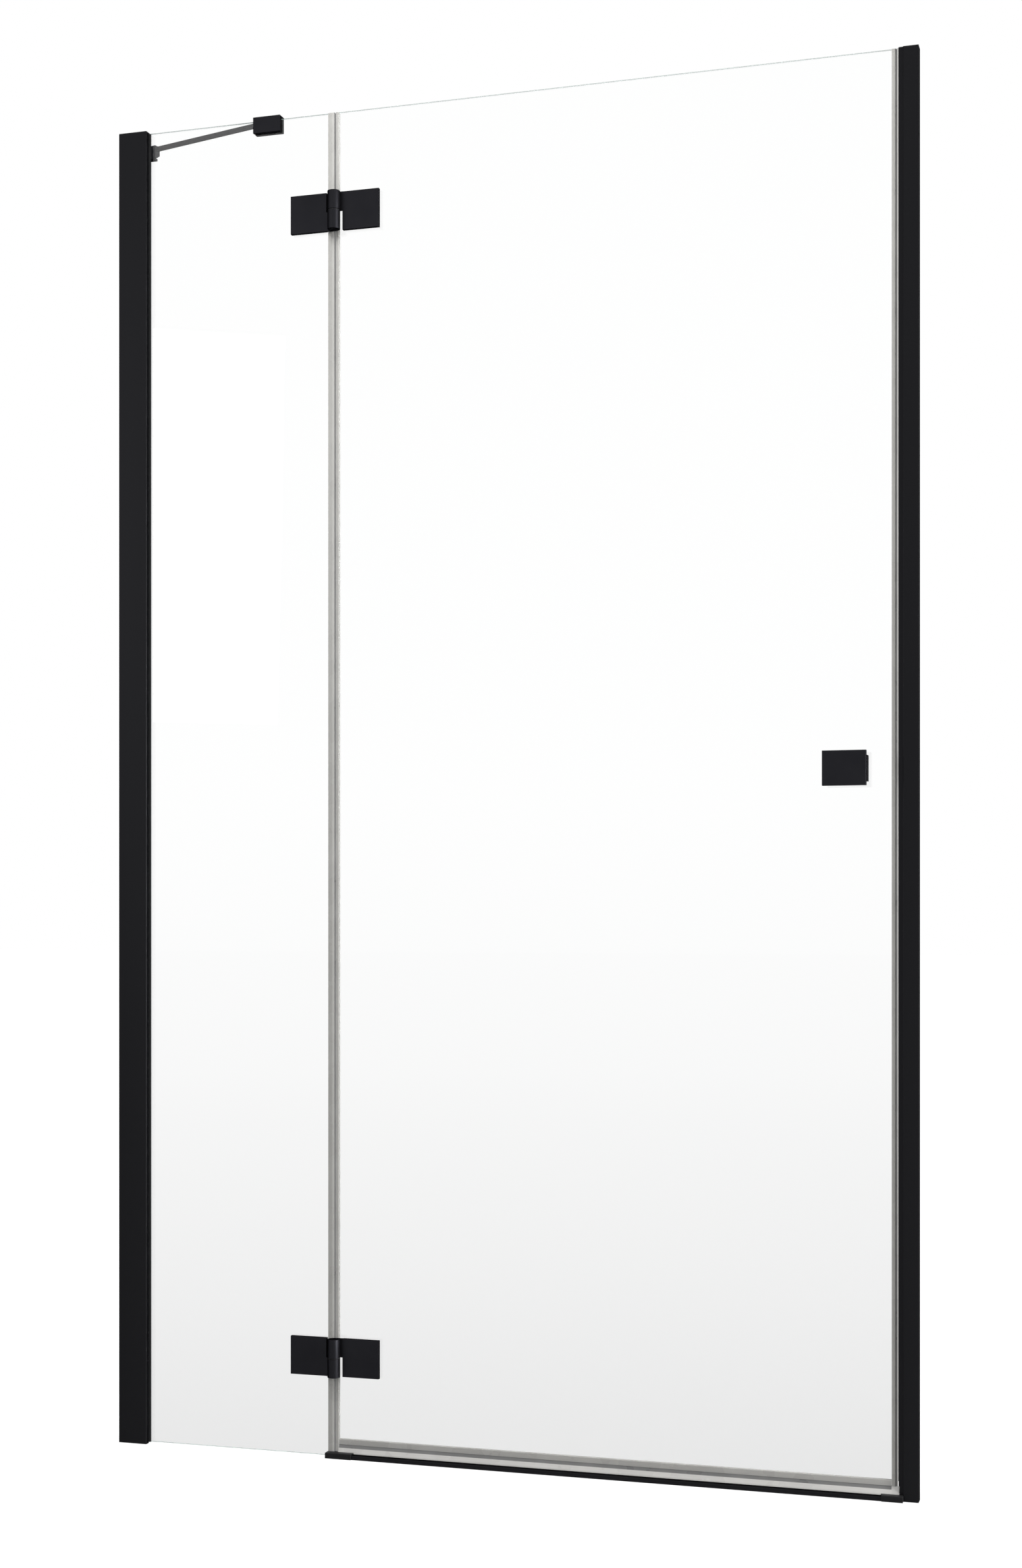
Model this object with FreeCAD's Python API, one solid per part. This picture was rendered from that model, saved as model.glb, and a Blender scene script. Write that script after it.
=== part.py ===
"""Frameless hinged shower door for a niche: fixed pane, swinging door, wall profiles, brace and sill.

Frame: +X runs along the door from the left wall to the right wall as seen from outside the shower,
+Y points into the shower, +Z is up. The origin lies on the tray under the middle of the width, in the
mid-plane of the glass. All sizes are millimetres.
"""
import FreeCAD, Part
import math
import os

from FreeCAD import Vector

# Overall sizes
OVERALL_WIDTH = 1210.0
OVERALL_HEIGHT = 2000.0
GLASS_THICKNESS = 6.0
GLASS_TOP_INSET = 0.5
FIXED_GLASS_FLOOR_GAP = 1.5
DOOR_GLASS_FLOOR_GAP = 20.8

# Shared fits
TOUCH_CLEARANCE = 0.05
SLIDE_CLEARANCE = 0.2
BODY_CLEARANCE = 0.35
EDGE_RADIUS = 0.6
SAME_PLACE = 0.001

# Wall profiles
LEFT_FACE_WIDTH = 46.5
LEFT_PROFILE_DEPTH = 30.0
RIGHT_FACE_WIDTH = 21.5
RIGHT_PROFILE_DEPTH = 17.0
PROFILE_WALL = 1.6
PROFILE_EDGE_RADIUS = 1.2
CHANNEL_BASE = 2.2
LEFT_CHANNEL_REACH = 26.0
WALL_STANDOFF = 0.6
TOP_CAP_PLATE = 1.5
TOP_CAP_PLUG = 9.0
GLASS_POCKET_DEPTH = 12.5
POCKET_END_GAP = 1.5
MOUTH_LIP = 2.0
REAR_LIP_SETBACK = 6.0
STRIKE_PROUD = 6.6
STRIKE_INSERT = 14.0
STRIKE_FLOOR_GAP = 9.0
STRIKE_NOTCH_TOP = 27.3
STRIKE_NOTCH_GAP = 0.6
STRIKE_NOSE_RADIUS = 2.5
WALL_HOLE_RADIUS = 3.25
WALL_HOLE_END_MARGIN = 120.0
WALL_HOLE_INNER_SPACING = 600.0

# Screws that lock the profiles together, with their covers
LOCK_SCREW_RADIUS = 2.0
LOCK_SCREW_HEAD_RADIUS = 3.6
LOCK_SCREW_HEAD_HEIGHT = 2.0
LOCK_SCREW_END_MARGIN = 200.0
LOCK_SCREW_ROWS = 3
LOCK_SCREW_TIP = 1.5
LEFT_LOCK_SCREW_FROM_WALL = 14.0
RIGHT_LOCK_SCREW_FROM_WALL = 13.0
SCREW_COVER_WALL = 1.2

# Wedge gaskets beside the fixed pane
GASKET_THICKNESS = 3.6
GASKET_BARB = 1.8
GASKET_BARB_LENGTH = 4.2
GASKET_PROUD = 2.5
GASKET_NOSE = 0.9

# Hinges
HINGE_AXIS_FROM_LEFT_WALL = 352.3
HINGE_END_DISTANCE = 149.0
HINGE_HEIGHT = 56.8
FIXED_LEAF_REACH = 71.3
DOOR_LEAF_REACH = 68.7
LEAF_THICKNESS = 5.0
LEAF_GASKET = 1.0
AXIS_AHEAD_OF_LEAF = 5.2
KNUCKLE_DIAMETER = 19.0
FIXED_LEAF_SLIT = 4.3
DOOR_LEAF_SLIT = 2.0
KNUCKLE_END_WALL = 5.0
PIN_DIAMETER = 8.0
PIN_RUNNING_CLEARANCE = 0.05
PIN_END_GAP = 0.3
BUSH_WALL = 1.5
WASHER_THICKNESS = 1.0
WASHER_INSET = 0.8

# Flush fixings through the glass
LEAF_FIXING_SPACING = 30.0
LEAF_FIXING_REAR_RADIUS = 11.0
LEAF_FIXING_FRONT_RADIUS = 8.0
KNOB_FIXING_SPACING = 20.0
KNOB_FIXING_REAR_RADIUS = 7.5
KNOB_FIXING_FRONT_RADIUS = 5.5
FIXING_SLEEVE_WALL = 0.8
FIXING_SCREW_RADIUS = 2.0
FIXING_SCREW_HEAD_RADIUS = 3.8
FIXING_SCREW_HEAD_DEPTH = 2.0
FIXING_SCREW_GRIP = 3.5
FIXING_DRIVE_RADIUS = 1.3
FIXING_DRIVE_DEPTH = 1.2

# Door edges and seals
FIXED_EDGE_BEHIND_AXIS = 5.8
DOOR_EDGE_BEYOND_AXIS = 0.7
DOOR_EDGE_FROM_RIGHT_WALL = 32.6
SEAL_WALL = 1.3
FIXED_SEAL_LEG = 7.1
FIXED_SEAL_WEB = 3.3
FIXED_SEAL_ROUND = 1.2
SEAL_FIN_THICKNESS = 1.1
DOOR_SEAL_LEG = 3.3
DOOR_SEAL_WEB = 1.4
DOOR_SEAL_ROUND = 0.6
CLOSING_SEAL_LEG = 4.6
CLOSING_SEAL_WEB = 1.5
CLOSING_SEAL_ROUND = 0.5
CLOSING_LIP_PAST_STRIKE = 0.2
CLOSING_LIP_FORWARD = 3.0
CLOSING_LIP_BEVEL = 0.5
CLOSING_LIP_THICKNESS = 0.9
CLOSING_LIP_FLARE = 1.4
BOTTOM_SEAL_LEG = 6.7
BOTTOM_SEAL_WEB = 1.7
WIPER_THICKNESS = 1.2
WIPER_REACH = 5.4
WIPER_TOUCH_GAP = 0.5
WIPER_END_PAST_STRIKE = 1.5
WIPER_CAP_MARGIN = 1.5
DRIP_FIN_REACH = 3.0
DRIP_FIN_DROP = 6.0
SEAL_END_GAP = 0.3

# Sill under the door
SILL_HEIGHT = 6.5
SILL_FRONT = 14.5
SILL_REAR = 9.5
SILL_REAR_HEIGHT = 3.0
SILL_CREST = 1.0
SILL_BEVEL = 0.8
SILL_CAP_WALL = 1.8
SILL_LEFT_CAP_LENGTH = 41.0
SILL_RIGHT_CAP_LENGTH = 29.6
SILL_LEFT_FROM_AXIS = 13.6
SILL_END_PAST_PROFILE = 0.9

# Knob
KNOB_WIDTH = 60.8
KNOB_HEIGHT = 48.5
KNOB_PLATE = 7.0
KNOB_PROJECTION = 27.0
KNOB_FOOT_WIDTH = 20.0
KNOB_FOOT_HEIGHT = 36.0
KNOB_GASKET = 0.8
KNOB_RIGHT_FROM_RIGHT_WALL = 69.0
KNOB_CENTRE_HEIGHT = 1008.8

# Brace and its clamp on the fixed pane
CLAMP_WIDTH = 43.5
CLAMP_HEIGHT = 24.0
CLAMP_ABOVE_GLASS = 5.0
CLAMP_FRONT = 8.0
CLAMP_REAR = 10.6
CLAMP_CENTRE_FROM_LEFT_WALL = 241.3
CLAMP_PAD = 0.8
CLAMP_PRESSURE_GAP = 0.8
CLAMP_TOP_GAP = 0.5
CLAMP_SCREW_RADIUS = 2.5
CLAMP_SCREW_SPACING = 16.0
CLAMP_SCREW_SHIFT = 8.0
CLAMP_SCREW_DRIVE_RADIUS = 1.4
CLAMP_SCREW_DRIVE_DEPTH = 2.5
BAR_HEIGHT = 7.4
BAR_THICKNESS = 3.5
BAR_BELOW_CLAMP_TOP = 7.9
BAR_ANGLE = 14.7
BAR_SOCKET_DEPTH = 6.0
BAR_ENTRY_FROM_CLAMP_REAR = 3.0
FLANGE_PLATE = 5.0
FLANGE_WIDTH = 36.0
FLANGE_HEIGHT = 20.3
FLANGE_BELOW_CLAMP_TOP = 3.1
FLANGE_HOLE_RADIUS = 2.25
FLANGE_HOLE_SPACING = 24.0
SHELF_THICKNESS = 3.4
SHELF_REACH = 26.8
SHELF_WIDTH = 13.0
PIVOT_FROM_WALL = 21.0
SWIVEL_WIDTH = 11.0
SWIVEL_REACH = 10.3
SWIVEL_CHAMFER = 2.6
PIVOT_SCREW_RADIUS = 2.5
PIVOT_SCREW_HEAD_RADIUS = 3.6
PIVOT_SCREW_HEAD_HEIGHT = 1.8
PIVOT_SCREW_GRIP = 7.0

# Places that several pieces share
LEFT_WALL = -OVERALL_WIDTH / 2
RIGHT_WALL = OVERALL_WIDTH / 2
GLASS_FACE = GLASS_THICKNESS / 2
GLASS_TOP = OVERALL_HEIGHT - GLASS_TOP_INSET
PROFILE_TOP = OVERALL_HEIGHT - TOP_CAP_PLATE
LEFT_FACE_END = LEFT_WALL + LEFT_FACE_WIDTH
LEFT_HALF_DEPTH = LEFT_PROFILE_DEPTH / 2
LEFT_INNER_HALF = LEFT_HALF_DEPTH - PROFILE_WALL
CHANNEL_HALF = LEFT_INNER_HALF - SLIDE_CLEARANCE
POCKET_START = LEFT_FACE_END - GLASS_POCKET_DEPTH
FACE_ENDS = {-1: LEFT_FACE_END, 1: LEFT_FACE_END - REAR_LIP_SETBACK}
MOUTH_HALF = GLASS_FACE + GASKET_THICKNESS + TOUCH_CLEARANCE
POCKET_HALF = MOUTH_HALF + GASKET_BARB + TOUCH_CLEARANCE
RIGHT_FACE_START = RIGHT_WALL - RIGHT_FACE_WIDTH
RIGHT_HALF_DEPTH = RIGHT_PROFILE_DEPTH / 2
STRIKE_HALF = RIGHT_HALF_DEPTH - PROFILE_WALL - SLIDE_CLEARANCE
STRIKE_FACE = RIGHT_FACE_START - STRIKE_PROUD
STRIKE_BACK = RIGHT_FACE_START + STRIKE_INSERT
AXIS_X = LEFT_WALL + HINGE_AXIS_FROM_LEFT_WALL
LEAF_BACK = -(GLASS_FACE + LEAF_GASKET)
LEAF_FRONT = LEAF_BACK - LEAF_THICKNESS
AXIS_Y = LEAF_FRONT - AXIS_AHEAD_OF_LEAF
KNUCKLE_RADIUS = KNUCKLE_DIAMETER / 2
PIN_RADIUS = PIN_DIAMETER / 2
BUSH_RADIUS = PIN_RADIUS + PIN_RUNNING_CLEARANCE + BUSH_WALL
FIXED_PLATE = (AXIS_X - FIXED_LEAF_REACH, AXIS_X - KNUCKLE_RADIUS - FIXED_LEAF_SLIT)
DOOR_PLATE = (AXIS_X + KNUCKLE_RADIUS + DOOR_LEAF_SLIT, AXIS_X + DOOR_LEAF_REACH)
PLATES = {-1: FIXED_PLATE, 1: DOOR_PLATE}
PLATE_MIDDLES = {side: sum(ends) / 2 for side, ends in PLATES.items()}
PARTING = WASHER_THICKNESS + BODY_CLEARANCE
HINGE_CENTRES = {"lower": HINGE_END_DISTANCE, "upper": OVERALL_HEIGHT - HINGE_END_DISTANCE}
FIXED_EDGE = AXIS_X - FIXED_EDGE_BEHIND_AXIS
DOOR_EDGE = AXIS_X + DOOR_EDGE_BEYOND_AXIS
DOOR_FREE_EDGE = RIGHT_WALL - DOOR_EDGE_FROM_RIGHT_WALL
SEAL_FACE = GLASS_FACE + SEAL_WALL
BRIDGE_BACK = -(SEAL_FACE + BODY_CLEARANCE)
FIXED_SEAL_END = FIXED_EDGE + FIXED_SEAL_WEB
DOOR_SEAL_START = DOOR_EDGE - DOOR_SEAL_WEB
SILL_CAP_TOP = SILL_HEIGHT + SILL_CAP_WALL
SILL_LEFT = AXIS_X - SILL_LEFT_FROM_AXIS
SILL_RIGHT = RIGHT_FACE_START + SILL_END_PAST_PROFILE
KNOB_RIGHT = RIGHT_WALL - KNOB_RIGHT_FROM_RIGHT_WALL
KNOB_LEFT = KNOB_RIGHT - KNOB_WIDTH
KNOB_FOOT_MIDDLE = KNOB_RIGHT - KNOB_FOOT_WIDTH / 2
KNOB_BACK = -(GLASS_FACE + KNOB_GASKET)
KNOB_FRONT = -(GLASS_FACE + KNOB_PROJECTION)
CLAMP_MIDDLE = LEFT_WALL + CLAMP_CENTRE_FROM_LEFT_WALL
CLAMP_LEFT = CLAMP_MIDDLE - CLAMP_WIDTH / 2
CLAMP_TOP = GLASS_TOP + CLAMP_ABOVE_GLASS
CLAMP_BOTTOM = CLAMP_TOP - CLAMP_HEIGHT
CLAMP_PAD_FACE = GLASS_FACE + CLAMP_PAD
CLAMP_REAR_WALL = CLAMP_PAD_FACE + CLAMP_PRESSURE_GAP
BAR_MIDDLE_HEIGHT = CLAMP_TOP - BAR_BELOW_CLAMP_TOP
BAR_ENTRY = Vector(CLAMP_LEFT, CLAMP_REAR - BAR_ENTRY_FROM_CLAMP_REAR, BAR_MIDDLE_HEIGHT)
BAR_ALONG = Vector(-math.cos(math.radians(BAR_ANGLE)), math.sin(math.radians(BAR_ANGLE)), 0)
BAR_RUN = (BAR_ENTRY.x - LEFT_WALL - PIVOT_FROM_WALL) / math.cos(math.radians(BAR_ANGLE))
PIVOT = BAR_ENTRY + BAR_ALONG * BAR_RUN
SWIVEL_FACE = BAR_RUN - SWIVEL_REACH
FLANGE_TOP = CLAMP_TOP - FLANGE_BELOW_CLAMP_TOP
FLANGE_BOTTOM = FLANGE_TOP - FLANGE_HEIGHT
SHELF_TOP = FLANGE_BOTTOM + SHELF_THICKNESS


def box(x0, x1, y0, y1, z0, z1):
    """Block between two opposite corners."""
    return Part.makeBox(x1 - x0, y1 - y0, z1 - z0, Vector(x0, y0, z0))


def bar_z(points, z0, z1):
    """Upright bar whose section is the closed outline of (x, y) points."""
    outline = [Vector(x, y, z0) for x, y in points]
    face = Part.Face(Part.makePolygon(outline + outline[:1]))
    return face.extrude(Vector(0, 0, z1 - z0))


def bar_x(points, x0, x1):
    """Level bar along X whose section is the closed outline of (y, z) points."""
    outline = [Vector(x0, y, z) for y, z in points]
    face = Part.Face(Part.makePolygon(outline + outline[:1]))
    return face.extrude(Vector(x1 - x0, 0, 0))


def rod_x(radius, x0, x1, y, z):
    """Round rod along X."""
    return Part.makeCylinder(radius, x1 - x0, Vector(x0, y, z), Vector(1, 0, 0))


def rod_y(radius, y0, y1, x, z):
    """Round rod along Y."""
    return Part.makeCylinder(radius, y1 - y0, Vector(x, y0, z), Vector(0, 1, 0))


def rod_z(radius, z0, z1, x, y):
    """Upright round rod."""
    return Part.makeCylinder(radius, z1 - z0, Vector(x, y, z0), Vector(0, 0, 1))


def cone_y(radius0, radius1, y0, y1, x, z):
    """Round taper along Y from radius0 at y0 to radius1 at y1."""
    return Part.makeCone(radius0, radius1, y1 - y0, Vector(x, y0, z), Vector(0, 1, 0))


def drilled(shape, tools):
    """Shape with every tool taken out of it."""
    for tool in tools:
        shape = shape.cut(tool)
    return shape


def joined(shapes):
    """One solid made of touching or overlapping shapes."""
    whole = shapes[0]
    for shape in shapes[1:]:
        whole = whole.fuse(shape)
    return whole.removeSplitter()


def near(value, target):
    """True where two coordinates are the same."""
    return math.isclose(value, target, abs_tol=SAME_PLACE)


def open_edges(shape):
    """Edges of a shape that have two ends, with those ends."""
    found = []
    for edge in shape.Edges:
        ends = [vertex.Point for vertex in edge.Vertexes]
        if len(ends) == 2:
            found.append((edge, ends[0], ends[1]))
    return found


def round_front(shape, radius, front):
    """Shape with a fillet along every edge in the plane y = front."""
    edges = [edge for edge, a, b in open_edges(shape) if near(a.y, front) and near(b.y, front)]
    return shape.makeFillet(radius, edges)


def round_upright(shape, radius, x, depths):
    """Shape with a fillet along its upright edges at x and at each of the depths."""
    edges = []
    for edge, a, b in open_edges(shape):
        upright = near(a.x, b.x) and near(a.y, b.y)
        if upright and near(a.x, x) and any(near(a.y, y) for y in depths):
            edges.append(edge)
    return shape.makeFillet(radius, edges)


def wall_hole_heights():
    """Heights of the outer and inner pairs of wall holes."""
    middle = OVERALL_HEIGHT / 2
    inner = WALL_HOLE_INNER_SPACING / 2
    low, high = WALL_HOLE_END_MARGIN, OVERALL_HEIGHT - WALL_HOLE_END_MARGIN
    return [low, middle - inner, middle + inner, high]


def lock_screw_heights():
    """Heights of the screws that lock a profile to its channel."""
    step = (OVERALL_HEIGHT - 2 * LOCK_SCREW_END_MARGIN) / (LOCK_SCREW_ROWS - 1)
    return [LOCK_SCREW_END_MARGIN + step * row for row in range(LOCK_SCREW_ROWS)]


def lock_screw_holes(x, y0, y1):
    """Clear holes for the lock screws."""
    radius = LOCK_SCREW_RADIUS + TOUCH_CLEARANCE
    return [rod_y(radius, y0, y1, x, z) for z in lock_screw_heights()]


def lock_screws(x, seat, depth):
    """Pan-head screws driven towards -Y, with their heads on the seat plane."""
    screws = []
    for z in lock_screw_heights():
        shank = rod_y(LOCK_SCREW_RADIUS, seat - depth, seat, x, z)
        head = rod_y(LOCK_SCREW_HEAD_RADIUS, seat, seat + LOCK_SCREW_HEAD_HEIGHT, x, z)
        drive_start = seat + LOCK_SCREW_HEAD_HEIGHT - FIXING_DRIVE_DEPTH
        drive = rod_y(FIXING_DRIVE_RADIUS, drive_start, seat + LOCK_SCREW_HEAD_HEIGHT, x, z)
        screws.append(joined([shank, head]).cut(drive))
    return Part.Compound(screws)


def screw_covers(x, seat):
    """Domed covers that press over the lock screws' heads."""
    covers = []
    inner = LOCK_SCREW_HEAD_RADIUS + SLIDE_CLEARANCE
    outer = inner + SCREW_COVER_WALL
    depth = LOCK_SCREW_HEAD_HEIGHT + SLIDE_CLEARANCE
    for z in lock_screw_heights():
        shell = rod_y(outer, seat, seat + depth + SCREW_COVER_WALL, x, z)
        shell = shell.makeFillet(SCREW_COVER_WALL / 2, [shell.Edges[0]])
        covers.append(shell.cut(rod_y(inner, seat, seat + depth, x, z)))
    return Part.Compound(covers)


def left_wall_profile():
    """U channel on the left wall, open towards the pane."""
    reach = LEFT_WALL + LEFT_CHANNEL_REACH
    shell = box(LEFT_WALL, reach, -CHANNEL_HALF, CHANNEL_HALF, 0, PROFILE_TOP)
    inner = CHANNEL_HALF - PROFILE_WALL
    shell = shell.cut(box(LEFT_WALL + CHANNEL_BASE, reach, -inner, inner, 0, PROFILE_TOP))
    holes = [
        rod_x(WALL_HOLE_RADIUS, LEFT_WALL, LEFT_WALL + CHANNEL_BASE, 0, z) for z in wall_hole_heights()
    ]
    screw_x = LEFT_WALL + LEFT_LOCK_SCREW_FROM_WALL
    return drilled(shell, holes + lock_screw_holes(screw_x, inner, CHANNEL_HALF))


def left_block(low, high):
    """Block with the left profile's outline, whose rear side is shorter than its front."""
    start = LEFT_WALL + WALL_STANDOFF
    front = box(start, FACE_ENDS[-1], -LEFT_HALF_DEPTH, 0, low, high)
    rear = box(start, FACE_ENDS[1], 0, LEFT_HALF_DEPTH, low, high)
    block = joined([front, rear])
    for side, end in FACE_ENDS.items():
        block = round_upright(block, PROFILE_EDGE_RADIUS, end, (side * LEFT_HALF_DEPTH,))
    return block


def left_glass_profile():
    """Outer profile that covers the channel and holds the fixed pane in its pocket."""
    start = LEFT_WALL + WALL_STANDOFF
    web_start = POCKET_START - PROFILE_WALL
    cuts = [box(start, web_start, -LEFT_INNER_HALF, LEFT_INNER_HALF, 0, PROFILE_TOP)]
    for side, end in FACE_ENDS.items():
        lip_start = end - MOUTH_LIP
        hollows = (
            (lip_start, 0, POCKET_HALF),
            (end, 0, MOUTH_HALF),
            (lip_start, POCKET_HALF + PROFILE_WALL, LEFT_INNER_HALF),
        )
        for stop, inner, outer in hollows:
            y0, y1 = sorted((side * inner, side * outer))
            cuts.append(box(POCKET_START, stop, y0, y1, 0, PROFILE_TOP))
    screw_x = LEFT_WALL + LEFT_LOCK_SCREW_FROM_WALL
    holes = lock_screw_holes(screw_x, LEFT_INNER_HALF, LEFT_HALF_DEPTH)
    return drilled(left_block(0, PROFILE_TOP), cuts + holes)


def left_top_cap():
    """Cap on the left profiles, slotted for the pane, with a plug inside the channel."""
    plate = left_block(PROFILE_TOP, OVERALL_HEIGHT)
    slot_half = GLASS_FACE + SLIDE_CLEARANCE
    slot = box(POCKET_START, LEFT_FACE_END, -slot_half, slot_half, PROFILE_TOP, OVERALL_HEIGHT)
    plug_half = CHANNEL_HALF - PROFILE_WALL - SLIDE_CLEARANCE
    plug_start = LEFT_WALL + CHANNEL_BASE + SLIDE_CLEARANCE
    plug_end = LEFT_WALL + LEFT_CHANNEL_REACH
    plug = box(plug_start, plug_end, -plug_half, plug_half, PROFILE_TOP - TOP_CAP_PLUG, PROFILE_TOP)
    return joined([plate.cut(slot), plug])


def glazing_gasket(side):
    """Wedge gasket in the profile's mouth; side is -1 in front of the pane and 1 behind it."""
    mouth = GLASS_FACE + GASKET_THICKNESS
    barb = mouth + GASKET_BARB
    end = FACE_ENDS[side]
    barb_end = end - MOUTH_LIP - TOUCH_CLEARANCE
    outline = [
        (barb_end - GASKET_BARB_LENGTH, GLASS_FACE),
        (barb_end - GASKET_BARB_LENGTH, mouth),
        (barb_end, barb),
        (barb_end, mouth),
        (end, mouth),
        (end + GASKET_PROUD, GLASS_FACE + GASKET_NOSE),
        (end + GASKET_PROUD, GLASS_FACE),
    ]
    return bar_z([(x, side * y) for x, y in outline], FIXED_GLASS_FLOOR_GAP, PROFILE_TOP)


def right_wall_profile():
    """Channel on the right wall, open towards the door."""
    half = RIGHT_HALF_DEPTH
    shell = box(RIGHT_FACE_START, RIGHT_WALL, -half, half, 0, PROFILE_TOP)
    shell = round_upright(shell, PROFILE_EDGE_RADIUS, RIGHT_FACE_START, (-half, half))
    inner = half - PROFILE_WALL
    hollow = box(RIGHT_FACE_START, RIGHT_WALL - CHANNEL_BASE, -inner, inner, 0, PROFILE_TOP)
    holes = [
        rod_x(WALL_HOLE_RADIUS, RIGHT_WALL - CHANNEL_BASE, RIGHT_WALL, 0, z) for z in wall_hole_heights()
    ]
    screw_x = RIGHT_WALL - RIGHT_LOCK_SCREW_FROM_WALL
    return drilled(shell, [hollow] + holes + lock_screw_holes(screw_x, inner, half))


def right_strike_profile():
    """Hollow inner profile that slides in the right channel, notched where the wiper passes it."""
    shell = box(STRIKE_FACE, STRIKE_BACK, -STRIKE_HALF, STRIKE_HALF, STRIKE_FLOOR_GAP, PROFILE_TOP)
    shell = round_upright(shell, STRIKE_NOSE_RADIUS, STRIKE_FACE, (-STRIKE_HALF, STRIKE_HALF))
    wall = STRIKE_NOSE_RADIUS
    inner = STRIKE_HALF - PROFILE_WALL
    hollow = box(STRIKE_FACE + wall, STRIKE_BACK - PROFILE_WALL, -inner, inner, STRIKE_FLOOR_GAP, PROFILE_TOP)
    notch_end = STRIKE_FACE + WIPER_END_PAST_STRIKE + STRIKE_NOTCH_GAP
    notch_rear = WIPER_THICKNESS + STRIKE_NOTCH_GAP - GLASS_FACE
    notch = box(STRIKE_FACE, notch_end, -STRIKE_HALF, notch_rear, STRIKE_FLOOR_GAP, STRIKE_NOTCH_TOP)
    screw_x = RIGHT_WALL - RIGHT_LOCK_SCREW_FROM_WALL
    return drilled(shell, [hollow, notch] + lock_screw_holes(screw_x, inner, STRIKE_HALF))


def right_top_cap():
    """Cap on both right profiles, with a plug inside the strike profile."""
    half = RIGHT_HALF_DEPTH
    plate = box(RIGHT_FACE_START, RIGHT_WALL, -half, half, PROFILE_TOP, OVERALL_HEIGHT)
    plate = round_upright(plate, PROFILE_EDGE_RADIUS, RIGHT_FACE_START, (-half, half))
    nose = box(STRIKE_FACE, RIGHT_FACE_START, -STRIKE_HALF, STRIKE_HALF, PROFILE_TOP, OVERALL_HEIGHT)
    nose = round_upright(nose, STRIKE_NOSE_RADIUS, STRIKE_FACE, (-STRIKE_HALF, STRIKE_HALF))
    plug_half = STRIKE_HALF - PROFILE_WALL - SLIDE_CLEARANCE
    plug_start = STRIKE_FACE + STRIKE_NOSE_RADIUS + SLIDE_CLEARANCE
    plug_end = STRIKE_BACK - PROFILE_WALL - SLIDE_CLEARANCE
    plug = box(plug_start, plug_end, -plug_half, plug_half, PROFILE_TOP - TOP_CAP_PLUG, PROFILE_TOP)
    return joined([plate, nose, plug])


def leaf_fixing_places(middle):
    """Places of the two flush fixings of each leaf, on both hinges."""
    shift = LEAF_FIXING_SPACING / 2
    return [(middle, centre + side * shift) for centre in HINGE_CENTRES.values() for side in (-1, 1)]


def leaf_places_at(centre, side):
    """Fixing places of one leaf of the hinge at a height."""
    places = leaf_fixing_places(PLATE_MIDDLES[side])
    return [place for place in places if abs(place[1] - centre) < HINGE_HEIGHT / 2]


def knob_fixing_places():
    """Places of the knob's flush fixings."""
    shift = KNOB_FIXING_SPACING / 2
    return [(KNOB_FOOT_MIDDLE, KNOB_CENTRE_HEIGHT + side * shift) for side in (-1, 1)]


def fixing_holes(places, front_radius, rear_radius):
    """Countersunk holes in the glass, wide at the shower side."""
    return [cone_y(front_radius, rear_radius, -GLASS_FACE, GLASS_FACE, x, z) for x, z in places]


def fixing_sleeves(places, front_radius, rear_radius):
    """Conical sleeves that keep the discs off the glass."""
    sleeves = []
    for x, z in places:
        outer = cone_y(front_radius, rear_radius, -GLASS_FACE, GLASS_FACE, x, z)
        inner_front = front_radius - FIXING_SLEEVE_WALL
        inner_rear = rear_radius - FIXING_SLEEVE_WALL
        sleeves.append(outer.cut(cone_y(inner_front, inner_rear, -GLASS_FACE, GLASS_FACE, x, z)))
    return Part.Compound(sleeves)


def fixing_screw_hole(x, z):
    """Countersunk hole for a fixing screw."""
    head = FIXING_SCREW_HEAD_RADIUS + TOUCH_CLEARANCE
    shank = FIXING_SCREW_RADIUS + TOUCH_CLEARANCE
    sink = cone_y(shank, head, GLASS_FACE - FIXING_SCREW_HEAD_DEPTH, GLASS_FACE, x, z)
    return sink.fuse(rod_y(shank, -GLASS_FACE, GLASS_FACE, x, z))


def fixing_discs(places, front_radius, rear_radius):
    """Flush discs that draw the hardware against the glass."""
    discs = []
    for x, z in places:
        front = front_radius - FIXING_SLEEVE_WALL
        rear = rear_radius - FIXING_SLEEVE_WALL
        disc = cone_y(front, rear, -GLASS_FACE, GLASS_FACE, x, z)
        discs.append(disc.cut(fixing_screw_hole(x, z)))
    return Part.Compound(discs)


def fixing_screws(places, hardware_back):
    """Countersunk screws from the shower side into the hardware outside."""
    screws = []
    for x, z in places:
        sink_start = GLASS_FACE - FIXING_SCREW_HEAD_DEPTH
        head = cone_y(FIXING_SCREW_RADIUS, FIXING_SCREW_HEAD_RADIUS, sink_start, GLASS_FACE, x, z)
        shank = rod_y(FIXING_SCREW_RADIUS, hardware_back - FIXING_SCREW_GRIP, sink_start, x, z)
        drive = rod_y(FIXING_DRIVE_RADIUS, GLASS_FACE - FIXING_DRIVE_DEPTH, GLASS_FACE, x, z)
        screws.append(joined([head, shank]).cut(drive))
    return Part.Compound(screws)


def tapped_holes(places, hardware_back):
    """Blind holes in the hardware for the fixing screws."""
    radius = FIXING_SCREW_RADIUS + TOUCH_CLEARANCE
    depth = FIXING_SCREW_GRIP + TOUCH_CLEARANCE
    return [rod_y(radius, hardware_back - depth, hardware_back, x, z) for x, z in places]


def hardware_gasket(x0, x1, z0, z1, hardware_back, places):
    """Thin gasket between the hardware and the glass, pierced for the fixing screws."""
    radius = FIXING_SCREW_RADIUS + TOUCH_CLEARANCE
    sheet = box(x0, x1, hardware_back, -GLASS_FACE, z0, z1)
    return drilled(sheet, [rod_y(radius, hardware_back, -GLASS_FACE, x, z) for x, z in places])


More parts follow.
